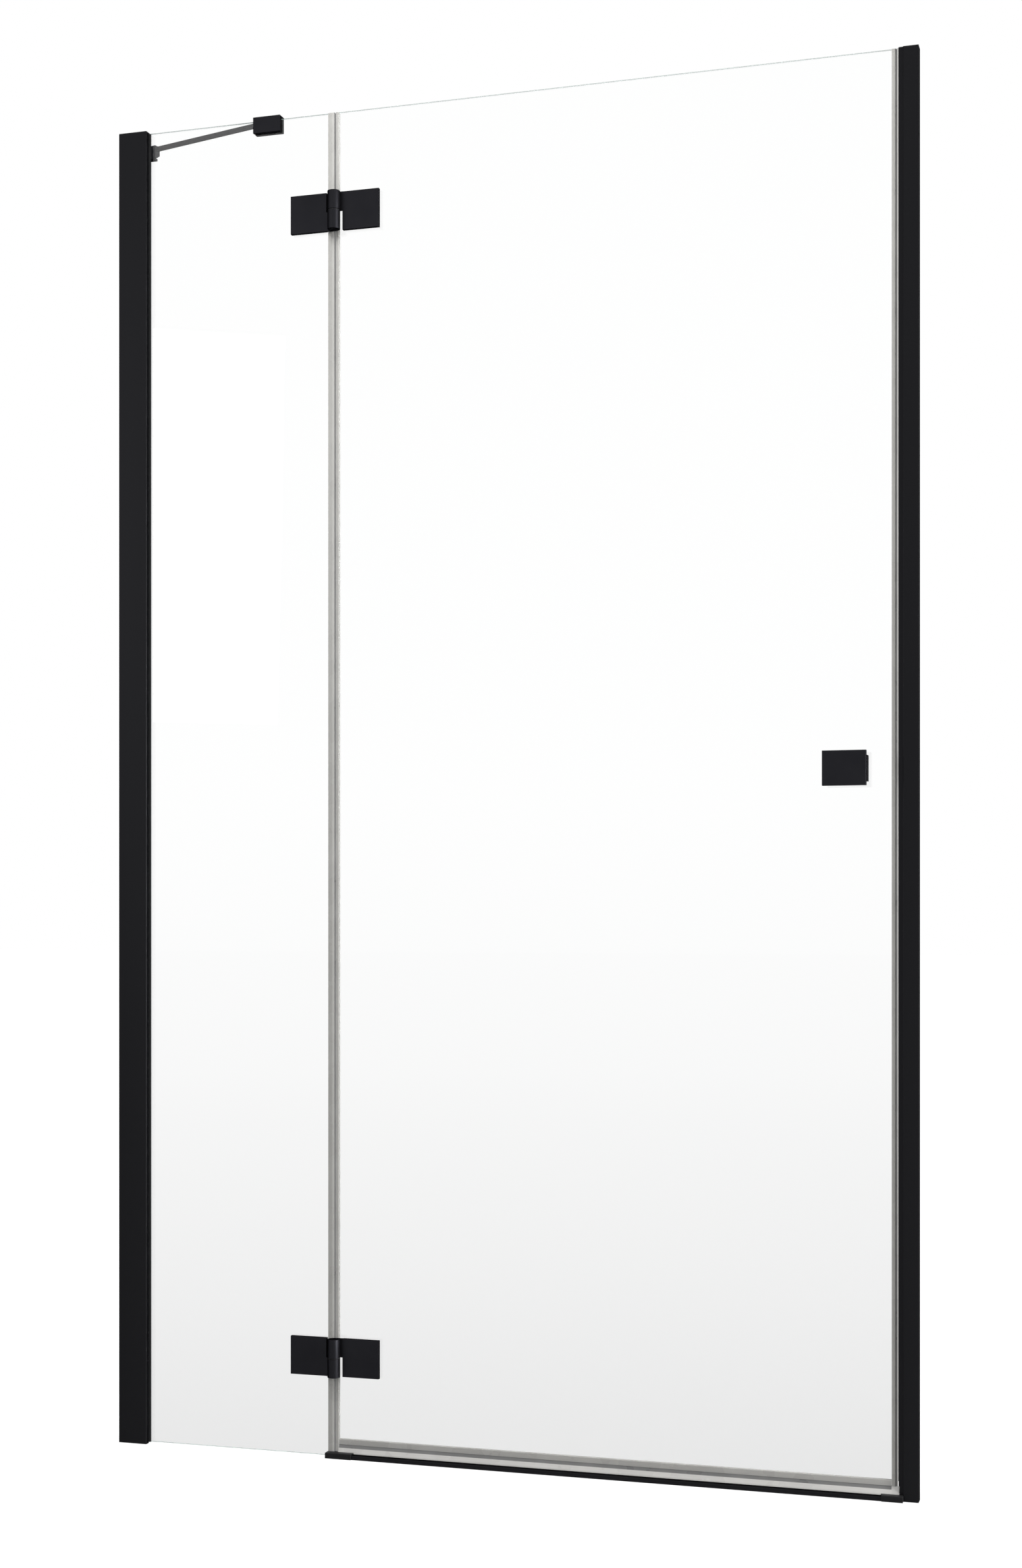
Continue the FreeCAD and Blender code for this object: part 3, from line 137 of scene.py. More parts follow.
class Graph:
    """Shader nodes of one finish, ending in a principled shader."""

    def __init__(self, name: str) -> None:
        """Starts a material with nothing but its shader.

        Args:
            name: Name of the material.
        """
        self.material = bpy.data.materials.new(name)
        self.material.use_nodes = True
        self.tree = self.material.node_tree
        self.tree.nodes.clear()
        self.shader = self.add("ShaderNodeBsdfPrincipled")
        self.link(self.shader.outputs["BSDF"], self.add("ShaderNodeOutputMaterial"), "Surface")

    def add(self, kind: str) -> Node:
        """Adds a node of the given kind and returns it."""
        return self.tree.nodes.new(kind)

    def link(self, source: NodeSocket, node: Node, name: str) -> None:
        """Links an output to a named input of a node."""
        self.tree.links.new(source, node.inputs[name])

    def set(self, name: str, value: float | tuple[float, ...]) -> None:
        """Sets a number or colour on the shader's own socket."""
        self.shader.inputs[name].default_value = value

    def place(self, stretch: Point) -> NodeSocket:
        """Reads the object's own coordinates.

        Args:
            stretch: Scale on each axis.

        Returns:
            The scaled coordinates.
        """
        coordinates = self.add("ShaderNodeTexCoord")
        mapping = self.add("ShaderNodeMapping")
        mapping.inputs["Scale"].default_value = stretch
        self.link(coordinates.outputs["Object"], mapping, "Vector")
        return mapping.outputs["Vector"]

    def noise(self, place: NodeSocket, scale: float, detail: float) -> NodeSocket:
        """Adds a noise.

        Args:
            place: Coordinates to read.
            scale: Cells a metre.
            detail: Octaves of finer noise.

        Returns:
            A value between 0 and 1.
        """
        texture = self.add("ShaderNodeTexNoise")
        texture.inputs["Scale"].default_value = scale
        texture.inputs["Detail"].default_value = detail
        self.link(place, texture, "Vector")
        return texture.outputs[0]

    def spread(self, value: NodeSocket, low: float, high: float) -> NodeSocket:
        """Stretches a noise's usual range over another.

        Args:
            value: Noise to stretch.
            low: Result at the low end of the usual range.
            high: Result at its high end.

        Returns:
            The stretched value.
        """
        span = self.add("ShaderNodeMapRange")
        span.inputs["From Min"].default_value, span.inputs["From Max"].default_value = USUAL_NOISE
        span.inputs["To Min"].default_value = low
        span.inputs["To Max"].default_value = high
        self.link(value, span, "Value")
        return span.outputs["Result"]

    def colours(self, value: NodeSocket, dark: Colour, light: Colour) -> NodeSocket:
        """Blends two colours over a noise's usual range.

        Args:
            value: Noise to follow.
            dark: Colour at the low end of the usual range.
            light: Colour at its high end.

        Returns:
            The blended colour.
        """
        ramp = self.add("ShaderNodeValToRGB")
        for stop, position, colour in zip(ramp.color_ramp.elements, USUAL_NOISE, (dark, light)):
            stop.position = position
            stop.color = (*colour, 1.0)
        self.link(value, ramp, "Fac")
        return ramp.outputs["Color"]

    def bump(self, height: NodeSocket, strength: float, distance: float) -> None:
        """Bends the shading normal by a height.

        Args:
            height: Height between 0 and 1.
            strength: Share of the bend that shows.
            distance: Height in metres at 1.
        """
        node = self.add("ShaderNodeBump")
        node.inputs["Strength"].default_value = strength
        node.inputs["Distance"].default_value = distance
        self.link(height, node, "Height")
        self.link(node.outputs["Normal"], self.shader, "Normal")


@dataclass(frozen=True)
class Finish:
    """Surface with two noise layers: a broad one for colour and sheen, a fine one for relief.

    Attributes:
        name: Name of the material.
        dark: Colour at the low end of the broad noise.
        light: Colour at its high end.
        roughness: Lowest and highest roughness.
        broad: Cells a metre of the broad noise.
        broad_detail: Octaves of the broad noise.
        fine: Cells a metre of the fine noise.
        fine_detail: Octaves of the fine noise.
        stretch: Scale of the coordinates, small along the direction of drawn lines.
        relief: Strength of the fine relief.
        depth: Height of the fine relief.
        metallic: Share of metal.
        ior: Index of refraction.
        transmission: Share of light that passes through.
        sheen_level: Scale of the mirror part of the shader.
        edge_tint: How bright a metal's mirror part is at a flat angle.
        cover: Share of light that the surface stops.
    """

    name: str
    dark: Colour
    light: Colour
    roughness: Span
    broad: float = 14.0
    broad_detail: float = 3.0
    fine: float = 900.0
    fine_detail: float = 2.0
    stretch: Point = (1.0, 1.0, 1.0)
    relief: float = 0.1
    depth: float = 0.0002
    metallic: float = 0.0
    ior: float = 1.45
    transmission: float = 0.0
    sheen_level: float = 0.5
    edge_tint: float = 1.0
    cover: float = 1.0

    def build(self) -> Material:
        """Makes the material.

        Returns:
            The new material.
        """
        graph = Graph(self.name)
        place = graph.place(self.stretch)
        broad = graph.noise(place, self.broad, self.broad_detail)
        fine = graph.noise(place, self.fine, self.fine_detail)
        graph.link(graph.colours(broad, self.dark, self.light), graph.shader, "Base Color")
        if self.roughness[0] == self.roughness[1]:
            graph.set("Roughness", self.roughness[0])
        else:
            graph.link(graph.spread(broad, *self.roughness), graph.shader, "Roughness")
        graph.bump(fine, self.relief, self.depth)
        graph.set("Metallic", self.metallic)
        graph.set("IOR", self.ior)
        graph.set("Transmission Weight", self.transmission)
        graph.set("Specular IOR Level", self.sheen_level)
        graph.set("Specular Tint", (self.edge_tint, self.edge_tint, self.edge_tint, 1.0))
        graph.set("Alpha", self.cover)
        return graph.material


def vinyl(name: str, dark: Colour, light: Colour, roughness: Span, cover: float) -> Finish:
    """Describes a clear vinyl; its darker and lighter kinds also carry the seals' painted shade and painted
    highlight.

    Args:
        name: Name of the material.
        dark: Darker colour.
        light: Lighter colour.
        roughness: Lowest and highest roughness.
        cover: Share of light that it stops.

    Returns:
        The finish.
    """
    return Finish(
        name, dark, light, roughness,
        broad=24.0, fine=1400.0, relief=0.06, depth=0.00005, ior=1.4, cover=cover,
    )


FINISHES: dict[Slot, Finish] = {
    Slot.ALUMINIUM: Finish(
        "satin_black_aluminium", (0.0125, 0.0125, 0.0138), (0.0145, 0.0145, 0.0159), (0.42, 0.5),
        broad=9.0, fine=2600.0, stretch=(1.0, 1.0, 0.03), relief=0.12, depth=0.00006,
        metallic=0.85, edge_tint=0.06, sheen_level=0.0,
    ),
    Slot.HARDWARE: Finish(
        "coated_black_hardware", (0.0146, 0.0146, 0.0172), (0.017, 0.017, 0.0196), (0.38, 0.46),
        broad=30.0, fine=2400.0, relief=0.1, depth=0.00008,
        metallic=0.85, edge_tint=0.06, sheen_level=0.0,
    ),
    Slot.GLASS: Finish(
        "clear_toughened_glass", (0.99, 0.993, 0.992), (0.993, 0.996, 0.995), (0.0, 0.0),
        broad=1.6, fine=3.5, relief=0.02, depth=0.0005, ior=1.58, transmission=1.0,
    ),
    Slot.SEAL: vinyl("clear_vinyl", (0.325, 0.32, 0.305), (0.361, 0.356, 0.34), (0.24, 0.32), cover=0.86),
    Slot.RUBBER: Finish(
        "black_rubber", (0.006, 0.006, 0.0062), (0.0095, 0.0095, 0.01), (0.68, 0.85),
        broad=40.0, fine=1800.0, relief=0.35, depth=0.00015, ior=1.12,
    ),
    Slot.PLASTIC: Finish(
        "moulded_black_plastic", (0.0105, 0.0105, 0.011), (0.0135, 0.0135, 0.0142), (0.45, 0.58),
        broad=34.0, fine=1500.0, relief=0.3, depth=0.0001, ior=1.16,
    ),
    Slot.STEEL: Finish(
        "turned_stainless_steel", (0.5, 0.5, 0.49), (0.62, 0.61, 0.6), (0.22, 0.34),
        broad=180.0, fine=3000.0, relief=0.15, depth=0.00005, metallic=1.0,
    ),
    Slot.DISC: Finish(
        "black_turned_disc", (0.0105, 0.0105, 0.011), (0.0135, 0.0135, 0.0142), (0.3, 0.4),
        broad=60.0, fine=2600.0, relief=0.12, depth=0.00006, ior=1.2,
    ),
    Slot.ACETAL: Finish(
        "black_acetal", (0.012, 0.012, 0.0125), (0.016, 0.016, 0.0165), (0.36, 0.48),
        broad=50.0, fine=1600.0, relief=0.12, depth=0.0001, ior=1.2,
    ),
}
GLASS_EDGE = Finish(
    "ground_glass_edge", (0.24, 0.32, 0.3), (0.3, 0.38, 0.36), (0.22, 0.34),
    broad=60.0, fine=1800.0, relief=0.25, depth=0.0001, ior=1.5, transmission=0.5,
)
# Painted shade for the seals' webs, fins, undersides and joint faces.
VINYL_PAINTED_SHADE = vinyl("vinyl_painted_shade", (0.1, 0.1, 0.1), (0.13, 0.13, 0.13), (0.26, 0.34), cover=0.94)
# Thinner, lighter vinyl, also a painted highlight on rounded and lit seal faces.
VINYL_THIN_AND_HIGHLIT = vinyl("thin_vinyl_and_painted_highlight", (0.4, 0.394, 0.377), (0.446, 0.439, 0.421), (0.24, 0.32), cover=0.72)


class FinishBook:
    """Materials of the door, each made once."""

    def __init__(self) -> None:
        """Makes a material for every slot, for the panes' ground edges, and for the seals' painted shade
        and their thinner vinyl with painted highlight.
        """
        self.by_slot = {slot: finish.build() for slot, finish in FINISHES.items()}
        self.glass_edge = GLASS_EDGE.build()
        self.painted_shade_vinyl = VINYL_PAINTED_SHADE.build()
        self.thin_and_highlit_vinyl = VINYL_THIN_AND_HIGHLIT.build()

    def of(self, slot: Slot) -> Material:
        """Returns the material of a slot."""
        return self.by_slot[slot]


@dataclass
class Shell:
    """Points and faces of a closed surface.

    Attributes:
        points: Array of shape (count, 3).
        walls: Point numbers of the four-sided faces, outwards, shape (faces, 4).
        tones: Finish number of each of these faces.
        ends: Point numbers of each flat end, outwards.
    """

    points: np.ndarray
    walls: np.ndarray
    tones: np.ndarray
    ends: list[np.ndarray] = field(default_factory=list)

    @staticmethod
    def together(shells: Sequence["Shell"]) -> "Shell":
        """Gathers the shells of one piece.

        Args:
            shells: Shells to gather, unwelded.

        Returns:
            One shell with all their points and faces.
        """
        starts = np.cumsum([0] + [len(shell.points) for shell in shells])
        return Shell(
            np.concatenate([shell.points for shell in shells]),
            np.concatenate([shell.walls + start for shell, start in zip(shells, starts)]),
            np.concatenate([shell.tones for shell in shells]),
            [end + start for shell, start in zip(shells, starts) for end in shell.ends],
        )

    def mesh(self, name: str) -> Mesh:
        """Makes a welded, smooth mesh whose flat ends have the first finish.

        Args:
            name: Name of the mesh.

        Returns:
            The new mesh.
        """
        mesh = bpy.data.meshes.new(name)
        faces = self.walls.tolist() + [end.tolist() for end in self.ends]
        mesh.from_pydata(self.points.tolist(), [], faces)
        tones = np.concatenate([self.tones, np.zeros(len(self.ends), int)])
        mesh.polygons.foreach_set("material_index", tones.astype(np.int32))
        work = bmesh.new()
        work.from_mesh(mesh)
        bmesh.ops.remove_doubles(work, verts=work.verts, dist=SHELL_WELD)
        work.to_mesh(mesh)
        work.free()
        mesh.shade_smooth()
        mesh.set_sharp_from_angle(angle=SHARP_ANGLE)
        return mesh


@dataclass
class Section:
    """Closed outline of a profile, with rounded corners and a finish for each side.

    Attributes:
        corners: Corners in order, anticlockwise.
        set_backs: Set-back of each corner's round.
        tones: Finish number of the side that follows each corner.
        steps: Points on each corner.
        side_share: Largest share of a side that a corner's round takes.
    """

    corners: Sequence[tuple[float, float]]
    set_backs: Sequence[float]
    tones: Sequence[int]
    steps: int = 5
    side_share: float = 0.45

    def outline(self) -> np.ndarray:
        """Rounds the corners.

        Each corner P becomes a quadratic curve (1 - t)^2 A + 2 t (1 - t) P + t^2 B, where A and B lie
        on the two sides of P at the corner's set-back, or at the largest share of the shorter side.

        Returns:
            Array of shape (corners times steps, 2).
        """
        points = np.asarray(self.corners, float)
        before = np.roll(points, 1, axis=0) - points
        after = np.roll(points, -1, axis=0) - points
        length_before = np.linalg.norm(before, axis=1)
        length_after = np.linalg.norm(after, axis=1)
        most = self.side_share * np.minimum(length_before, length_after)
        back = np.minimum(np.asarray(self.set_backs, float), most)
        first = points + before * (back / length_before)[:, None]
        last = points + after * (back / length_after)[:, None]
        t = np.linspace(0.0, 1.0, self.steps)[None, :, None]
        curve = (1 - t) ** 2 * first[:, None] + 2 * t * (1 - t) * points[:, None] + t**2 * last[:, None]
        return curve.reshape(-1, 2)

    def along(self, outlines: np.ndarray, stations: np.ndarray, axis: Axis) -> Shell:
        """Carries outlines of this section along a straight axis.

        Point (i, j) is outline point j of section i, set at station i along the axis. Walls join
        neighbouring sections, and the first and last section are closed by a flat end.

        Args:
            outlines: Sections, shape (sections, points, 2), anticlockwise seen from the axis's far end.
            stations: Places of the sections along the axis, rising.
            axis: Axis to follow.

        Returns:
            The closed shell.
        """
        sections, count = outlines.shape[:2]
        points = np.empty((sections, count, 3))
        first, second, far = axis.value
        points[..., first] = outlines[..., 0]
        points[..., second] = outlines[..., 1]
        points[..., far] = stations[:, None]
        grid = np.arange(sections * count).reshape(sections, count)
        sides = np.repeat(np.asarray(self.tones, int), self.steps)
        tones = np.tile(sides, sections - 1)
        return Shell(points.reshape(-1, 3), grid_walls(grid), tones, [grid[0, ::-1], grid[-1]])

    def straight(self, low: float, high: float, axis: Axis) -> Shell:
        """Carries the section from low to high along an axis."""
        outline = self.outline()
        return self.along(np.stack([outline, outline]), np.array([low, high]), axis)


def grid_walls(grid: np.ndarray) -> np.ndarray:
    """Joins the rows of a grid that closes on itself sideways.

    Face (i, j) has the corners (i, j), (i, j + 1), (i + 1, j + 1) and (i + 1, j).

    Args:
        grid: Point numbers, shape (rows, points).

    Returns:
        Point numbers of the faces, shape (faces, 4).
    """
    turned = np.roll(grid, -1, axis=1)
    return np.stack([grid[:-1], turned[:-1], turned[1:], grid[1:]], axis=-1).reshape(-1, 4)


def lathe(rows: Sequence[LatheRow], centre: Vector, pointing: Vector, ring: bool) -> Shell:
    """Turns a profile about an axis, with round or hexagonal rows.

    Point (i, j) lies at height h_i along the axis and at radius r_i (1 + s_i (1 / cos(a) - 1)) from it,
    where a is the angle from the nearest flat of a hexagon and s_i is 0 for a round row, 1 for a
    hexagonal one.

    Args:
        rows: Radius, height and hexagon share of each row, outer side rising.
        centre: Point on the axis at height 0.
        pointing: Direction of the axis.
        ring: True where the last row joins the first, False where both end on the axis.

    Returns:
        The closed shell.
    """
    table = np.asarray(rows, float)
    axis = np.asarray(pointing.normalized())
    side = np.asarray(pointing.orthogonal().normalized())
    across = np.cross(axis, side)
    angle = np.linspace(0.0, 2 * math.pi, LATHE_SEGMENTS, endpoint=False)
    sixth = math.pi / 3
    from_flat = np.mod(angle + sixth / 2, sixth) - sixth / 2
    radius = table[:, :1] * (1 + table[:, 2:] * (1 / np.cos(from_flat) - 1)[None])
    flat = radius[..., None] * (np.cos(angle)[:, None] * side + np.sin(angle)[:, None] * across)[None]
    points = np.asarray(centre) + flat + table[:, 1][:, None, None] * axis
    grid = np.arange(len(table) * LATHE_SEGMENTS).reshape(-1, LATHE_SEGMENTS)
    walls = grid_walls(np.vstack([grid, grid[:1]]) if ring else grid)
    return Shell(points.reshape(-1, 3), walls, np.zeros(len(walls), int))


def solids_in_row(node: str, apart: float = 0.008) -> list[Vector]:
    """Finds the middles of like solids that stand above one another in a node.

    The heights of the node's points are sorted, and split wherever none lies for some distance.

    Args:
        node: Node with the solids.
        apart: Least free height between two of them.

    Returns:
        The middles in the mid-plane of the glass, from the lowest up.
    """
    low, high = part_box(node)
    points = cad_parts[node].data.vertices
    flat = np.empty(len(points) * 3)
    points.foreach_get("co", flat)
    heights = np.unique(flat[2::3])
    groups = np.split(heights, np.flatnonzero(np.diff(heights) > apart) + 1)
    return [Vector(((low.x + high.x) / 2, 0.0, (group[0] + group[-1]) / 2)) for group in groups]


def welded_copy(node: str) -> Mesh:
    """Copies a node's mesh without its finish, welded and with each flat area as few faces.

    Args:
        node: Node to copy.

    Returns:
        The new mesh.
    """
    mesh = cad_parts[node].data.copy()
    mesh.materials.clear()
    work = bmesh.new()
    work.from_mesh(mesh)
    bmesh.ops.remove_doubles(work, verts=work.verts, dist=NODE_WELD)
    bmesh.ops.dissolve_limit(
        work, angle_limit=FLAT_ANGLE, verts=work.verts, edges=work.edges, use_dissolve_boundaries=False
    )
    work.to_mesh(mesh)
    work.free()
    for name in [item.name for item in mesh.attributes if "normal" in item.name]:
        mesh.attributes.remove(mesh.attributes[name])
    mesh.shade_smooth()
    return mesh


def soften(piece: Object, width: float, segments: int = 2) -> bpy.types.BevelModifier:
    """Breaks the sharp edges of a piece.

    Args:
        piece: Piece to soften.
        width: Width of the broken edges.
        segments: Faces across each of them.

    Returns:
        The modifier that does it.
    """
    bevel = piece.modifiers.new("broken_edges", "BEVEL")
    bevel.width = width
    bevel.segments = segments
    bevel.limit_method = "ANGLE"
    bevel.angle_limit = BROKEN_EDGE_ANGLE
    bevel.harden_normals = True
    bevel.miter_outer = "MITER_ARC"
    return bevel


@dataclass
class SubAssembly:
    """Group of pieces that share the finishes of the door.

    Attributes:
        finishes: Materials of the door.
        made: Pieces and dressed nodes, in the order of building.
    """

    finishes: FinishBook
    made: list[Object] = field(default_factory=list, init=False)

    def piece(self, name: str, mesh: Mesh, body: Body, slot: Slot, node: str) -> Object:
        """Sets a new piece on a body and gives it the slot's finish.

        Args:
            name: Name of the piece.
            mesh: Its mesh, in the door's frame and without a finish.
            body: Body that it moves with.
            slot: Material slot.
            node: Node that it takes the place of.

        Returns:
            The new object.
        """
        made = bpy.data.objects.new(name, mesh)
        bpy.context.scene.collection.objects.link(made)
        mesh.materials.append(self.finishes.of(slot))
        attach(made, body.value)
        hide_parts(node)
        self.made.append(made)
        return made

    def refined(self, node: str, body: Body, slot: Slot, edge: float) -> None:
        """Adds a copy of a node with broken edges, which takes its place.

        Args:
            node: Node to copy.
            body: Body that it moves with.
            slot: Material slot.
            edge: Width of the broken edges.
        """
        made = self.piece(node + "_finished", welded_copy(node), body, slot, node)
        soften(made, edge)

    def dress(self, nodes: Iterable[str], slot: Slot) -> None:
        """Gives nodes whose shape is right the finish of a slot.

        Args:
            nodes: Nodes to dress.
            slot: Material slot.
        """
        for node in nodes:
            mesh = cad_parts[node].data
            for number in range(len(mesh.materials)):
                mesh.materials[number] = self.finishes.of(slot)
            self.made.append(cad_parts[node])


@dataclass
class WallProfiles(SubAssembly):
    """Profiles on both walls with their caps, lock screws and screw covers.

    Attributes:
        edge: Width of the profiles' broken edges.
        cap_edge: Width of the caps' broken edges.
        cover_wall: Thickness of a screw cover's wall.
        cover_crown: Thickness of its crown.
        rim_share: Height of its rim as a share of its whole height.
        crown_rows: Rows of points over the crown.
    """

    edge: float = 0.0004
    cap_edge: float = 0.0003
    cover_wall: float = 0.0012
    cover_crown: float = 0.001
    rim_share: float = 0.55
    crown_rows: int = 9

    def build(self) -> None:
        """Builds the profiles and everything fixed to them."""
        for node in ("left_glass_profile", "right_wall_profile", "right_strike_profile"):
            self.refined(node, Body.FRAME, Slot.ALUMINIUM, self.edge)
        for node in ("left_top_cap", "right_top_cap"):
            self.refined(node, Body.FRAME, Slot.PLASTIC, self.cap_edge)
        self.dress(["left_wall_profile"], Slot.ALUMINIUM)
        self.dress(["left_fixing_screws", "right_fixing_screws"], Slot.STEEL)
        self.covers("left_screw_covers", "left_glass_profile")
        self.covers("right_screw_covers", "right_wall_profile")

    def covers(self, node: str, profile: str) -> None:
        """Builds a row of domed covers on the rear of a profile.

        The dome's height falls with the square of the radius, from the node's full height at the middle
        to a vertical rim.

        Args:
            node: Node with the plain covers.
            profile: Node of the profile.
        """
        low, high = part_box(node)
        seat = Vector((0.0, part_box(profile)[1].y, 0.0))
        outer = (high.x - low.x) / 2
        inner = outer - self.cover_wall
        height = high.y - seat.y
        rim = self.rim_share * height
        ceiling = height - self.cover_crown
        share = np.linspace(1.0, 0.0, self.crown_rows)
        dome = np.column_stack([outer * share, rim + (height - rim) * (1 - share**2), np.zeros_like(share)])
        rows = [
            (0.0, ceiling, 0.0), (inner, min(ceiling, rim), 0.0), (inner, 0.0, 0.0), (outer, 0.0, 0.0),
            *dome.tolist(),
        ]
        shells = [lathe(rows, place + seat, Vector((0, 1, 0)), ring=False) for place in solids_in_row(node)]
        mesh = Shell.together(shells).mesh(node + "_domed")
        self.piece(node + "_domed", mesh, Body.FRAME, Slot.PLASTIC, node)


@dataclass
class Glazing(SubAssembly):
    """Both panes with broken, ground edges, and the gaskets that hold the fixed one.

    Attributes:
        arris: Width of the panes' broken edges.
        face_normal: Least depth part of the normal of a pane's face.
        barb: Height of a gasket's barb.
        barb_length: Length of the barb.
        proud: Length of the nose in front of the profile's mouth.
        nose: Thickness of the nose.
    """

    arris: float = 0.0006
    face_normal: float = 0.99
    barb: float = 0.0018
    barb_length: float = 0.0042
    proud: float = 0.0025
    nose: float = 0.0009

    def build(self) -> None:
        """Builds the panes and the gaskets."""
        self.pane("fixed_glass", Body.FRAME)
        self.pane("door_glass", Body.DOOR)
        self.gasket("fixed_glass_front_gasket", -1)
        self.gasket("fixed_glass_rear_gasket", 1)

    def pane(self, node: str, body: Body) -> None:
        """Builds a pane whose edges and holes are ground.

        Args:
            node: Node of the pane.
            body: Body that it moves with.
        """
        made = self.piece(node + "_ground", welded_copy(node), body, Slot.GLASS, node)
        mesh = made.data
        mesh.materials.append(self.finishes.glass_edge)
        normals = np.empty(len(mesh.polygons) * 3)
        mesh.polygons.foreach_get("normal", normals)
        edge = np.abs(normals[1::3]) < self.face_normal
        mesh.polygons.foreach_set("material_index", edge.astype(np.int32))
        soften(made, self.arris, segments=1).material = 1
        made.visible_shadow = False

    def gasket(self, node: str, side: int) -> None:
        """Builds a wedge gasket with a rounded nose and barb.

        Args:
            node: Node of the plain gasket.
            side: -1 in front of the glass, 1 behind it.
        """
        low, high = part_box(node)
        glass, outer = sorted((abs(low.y), abs(high.y)))
        lip = outer - self.barb
        rows = [
            (low.x, glass, Round.FINE),
            (high.x, glass, Round.EASED),
            (high.x, glass + self.nose, Round.NOSE),
            (high.x - self.proud, lip, Round.NOSE),
            (low.x + self.barb_length, lip, Round.FINE),
            (low.x + self.barb_length, outer, Round.TIP),
            (low.x, lip, Round.EASED),
        ][::side]
        corners = [(x, side * depth) for x, depth, _ in rows]
        section = Section(corners, [row[2].value for row in rows], [0] * len(rows))
        mesh = section.straight(low.z, high.z, Axis.Z).mesh(node + "_rounded")
        self.piece(node + "_rounded", mesh, Body.FRAME, Slot.RUBBER, node)


@dataclass
class Seals(SubAssembly):
    """Clear seals on the edges of both panes, with painted shade in their joints, recesses and undersides,
    and painted highlight on lit faces.

    Attributes:
        glass: Half the thickness of the glass, with the seals' grip.
        face: Half the thickness over both legs.
        grip: Gap between a glass edge and the web over it.
        bead: Width of the thin bead beside the fixed pane's edge.
        fixed_web: Width of the web beside that edge.
        fin: Thickness of the fin across the joint.
        fin_start: Height at which the fin starts.
        closing_web: Width of the web beside the door's free edge.
        closing_half: Half the thickness of that web.
        closing_slope: Width of the slope from the legs to that web.
        lip_root: Distance of the lip's root in front of the glass's middle.
        lip: Thickness of the lip.
        lip_bevel: Width of the bevel on the lip's tip.
        lip_shade_share: Share of the lip's front, from its root, that carries painted shade.
        bottom_web: Thickness of the web under the door.
        wiper_root: Distance of the wiper's root from the glass's middle.
        wiper: Thickness of the wiper and of the drip fin.
        wiper_bands: Shares of the wiper's front at which its painted shade ends, a painted highlight ends
            and a second painted highlight starts.
        drip: Drop of the drip fin.
        cap_gap: Gap between the wiper and the sill's end caps.
        cap_margin: Distance from the caps at which the wiper is cut level.
        end_gap: Gap between the bottom seal's legs and the closing side's seal.
    """

    glass: float = 0.00303
    face: float = 0.0043
    grip: float = 0.00003
    bead: float = 0.0021
    fixed_web: float = 0.0033
    fin: float = 0.0011
    fin_start: float = 0.0085
    closing_web: float = 0.0015
    closing_half: float = 0.00365
    closing_slope: float = 0.0006
    lip_root: float = 0.0016
    lip: float = 0.0009
    lip_bevel: float = 0.0005
    lip_shade_share: float = 0.35
    bottom_web: float = 0.0017
    wiper_root: float = 0.003
    wiper: float = 0.0012
    wiper_bands: tuple[float, float, float] = (0.38, 0.56, 0.6)
    drip: float = 0.006
    cap_gap: float = 0.0005
    cap_margin: float = 0.0015
    end_gap: float = 0.0003

    def build(self) -> None:
        """Builds the four seals."""
        self.fixed_edge()
        self.door_hinge()
        self.closing_side()
        self.bottom()

    @staticmethod
    def section(rows: Sequence[SealRow]) -> Section:
        """Returns a section from rows of two coordinates, a corner's round and the next side's part."""
        corners = [row[:2] for row in rows]
        return Section(corners, [row[2].value for row in rows], [row[3].value for row in rows])

    def slot(self, mouth: float, floor: float, side: int) -> list[SealRow]:
        """Lists the corners of the slot that holds the glass, from one leg to the other.

        Args:
            mouth: Place of the legs' tips.
            floor: Place of the slot's floor.
            side: Leg to start from, -1 in front of the glass and 1 behind it.

        Returns:
            Rows of a section.
        """
        glass = side * self.glass
        return [
            (mouth, glass, Round.FINE, Vinyl.LEG),
            (floor, glass, Round.CREASE, Vinyl.LEG),
            (floor, -glass, Round.CREASE, Vinyl.LEG),
            (mouth, -glass, Round.FINE, Vinyl.LEG),
        ]

    def seal(self, node: str, shells: Sequence[Shell], body: Body) -> None:
        """Adds a seal that takes the place of its plain node and casts no shadow of its own.

        Args:
            node: Node of the plain seal.
            shells: Shells of the seal.
            body: Body that it moves with.
        """
        mesh = Shell.together(shells).mesh(node + "_soft")
        made = self.piece(node + "_soft", mesh, body, Slot.SEAL, node)
        # The seal's second material is painted shade, its third a thinner, lighter vinyl with painted
        # highlight.
        mesh.materials.append(self.finishes.painted_shade_vinyl)
        mesh.materials.append(self.finishes.thin_and_highlit_vinyl)
        made.visible_shadow = False

    def fixed_edge(self) -> None:
        """Builds the seal on the fixed pane's free edge, with a fin across the joint behind.

        Below the fin's start the outline is pressed back to the web.
        """
        low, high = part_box("fixed_edge_seal")
        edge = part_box("fixed_glass")[1].x
        face, web, fin_front = self.face, edge + self.fixed_web, self.face - self.fin
        section = self.section(
            [
                (low.x, -face, Round.TIP, Vinyl.LEG),
                # Lighter vinyl with a painted highlight on the rounded strip beside the glass edge.
                (edge, -face, Round.FINE, Vinyl.LIP),
                (edge + self.bead, -face, Round.FINE, Vinyl.LEG),
                # Painted shade on the web's side and on the fin, in the joint's gap.
                (web, -face, Round.WEB, Vinyl.WEB),
                (web, fin_front, Round.EASED, Vinyl.WEB),
                (high.x, fin_front, Round.TIP, Vinyl.WEB),
                (high.x, face, Round.TIP, Vinyl.LEG),
                (low.x, face, Round.TIP, Vinyl.LEG),
                *self.slot(low.x, edge + self.grip, 1),
            ]
        )
        full = section.outline()
        bare = np.column_stack([np.minimum(full[:, 0], web), full[:, 1]])
        stations = np.array([low.z, self.fin_start - SUDDEN_CHANGE, self.fin_start, high.z])
        shell = section.along(np.stack([bare, bare, full, full]), stations, Axis.Z)
        self.seal("fixed_edge_seal", [shell], Body.FRAME)

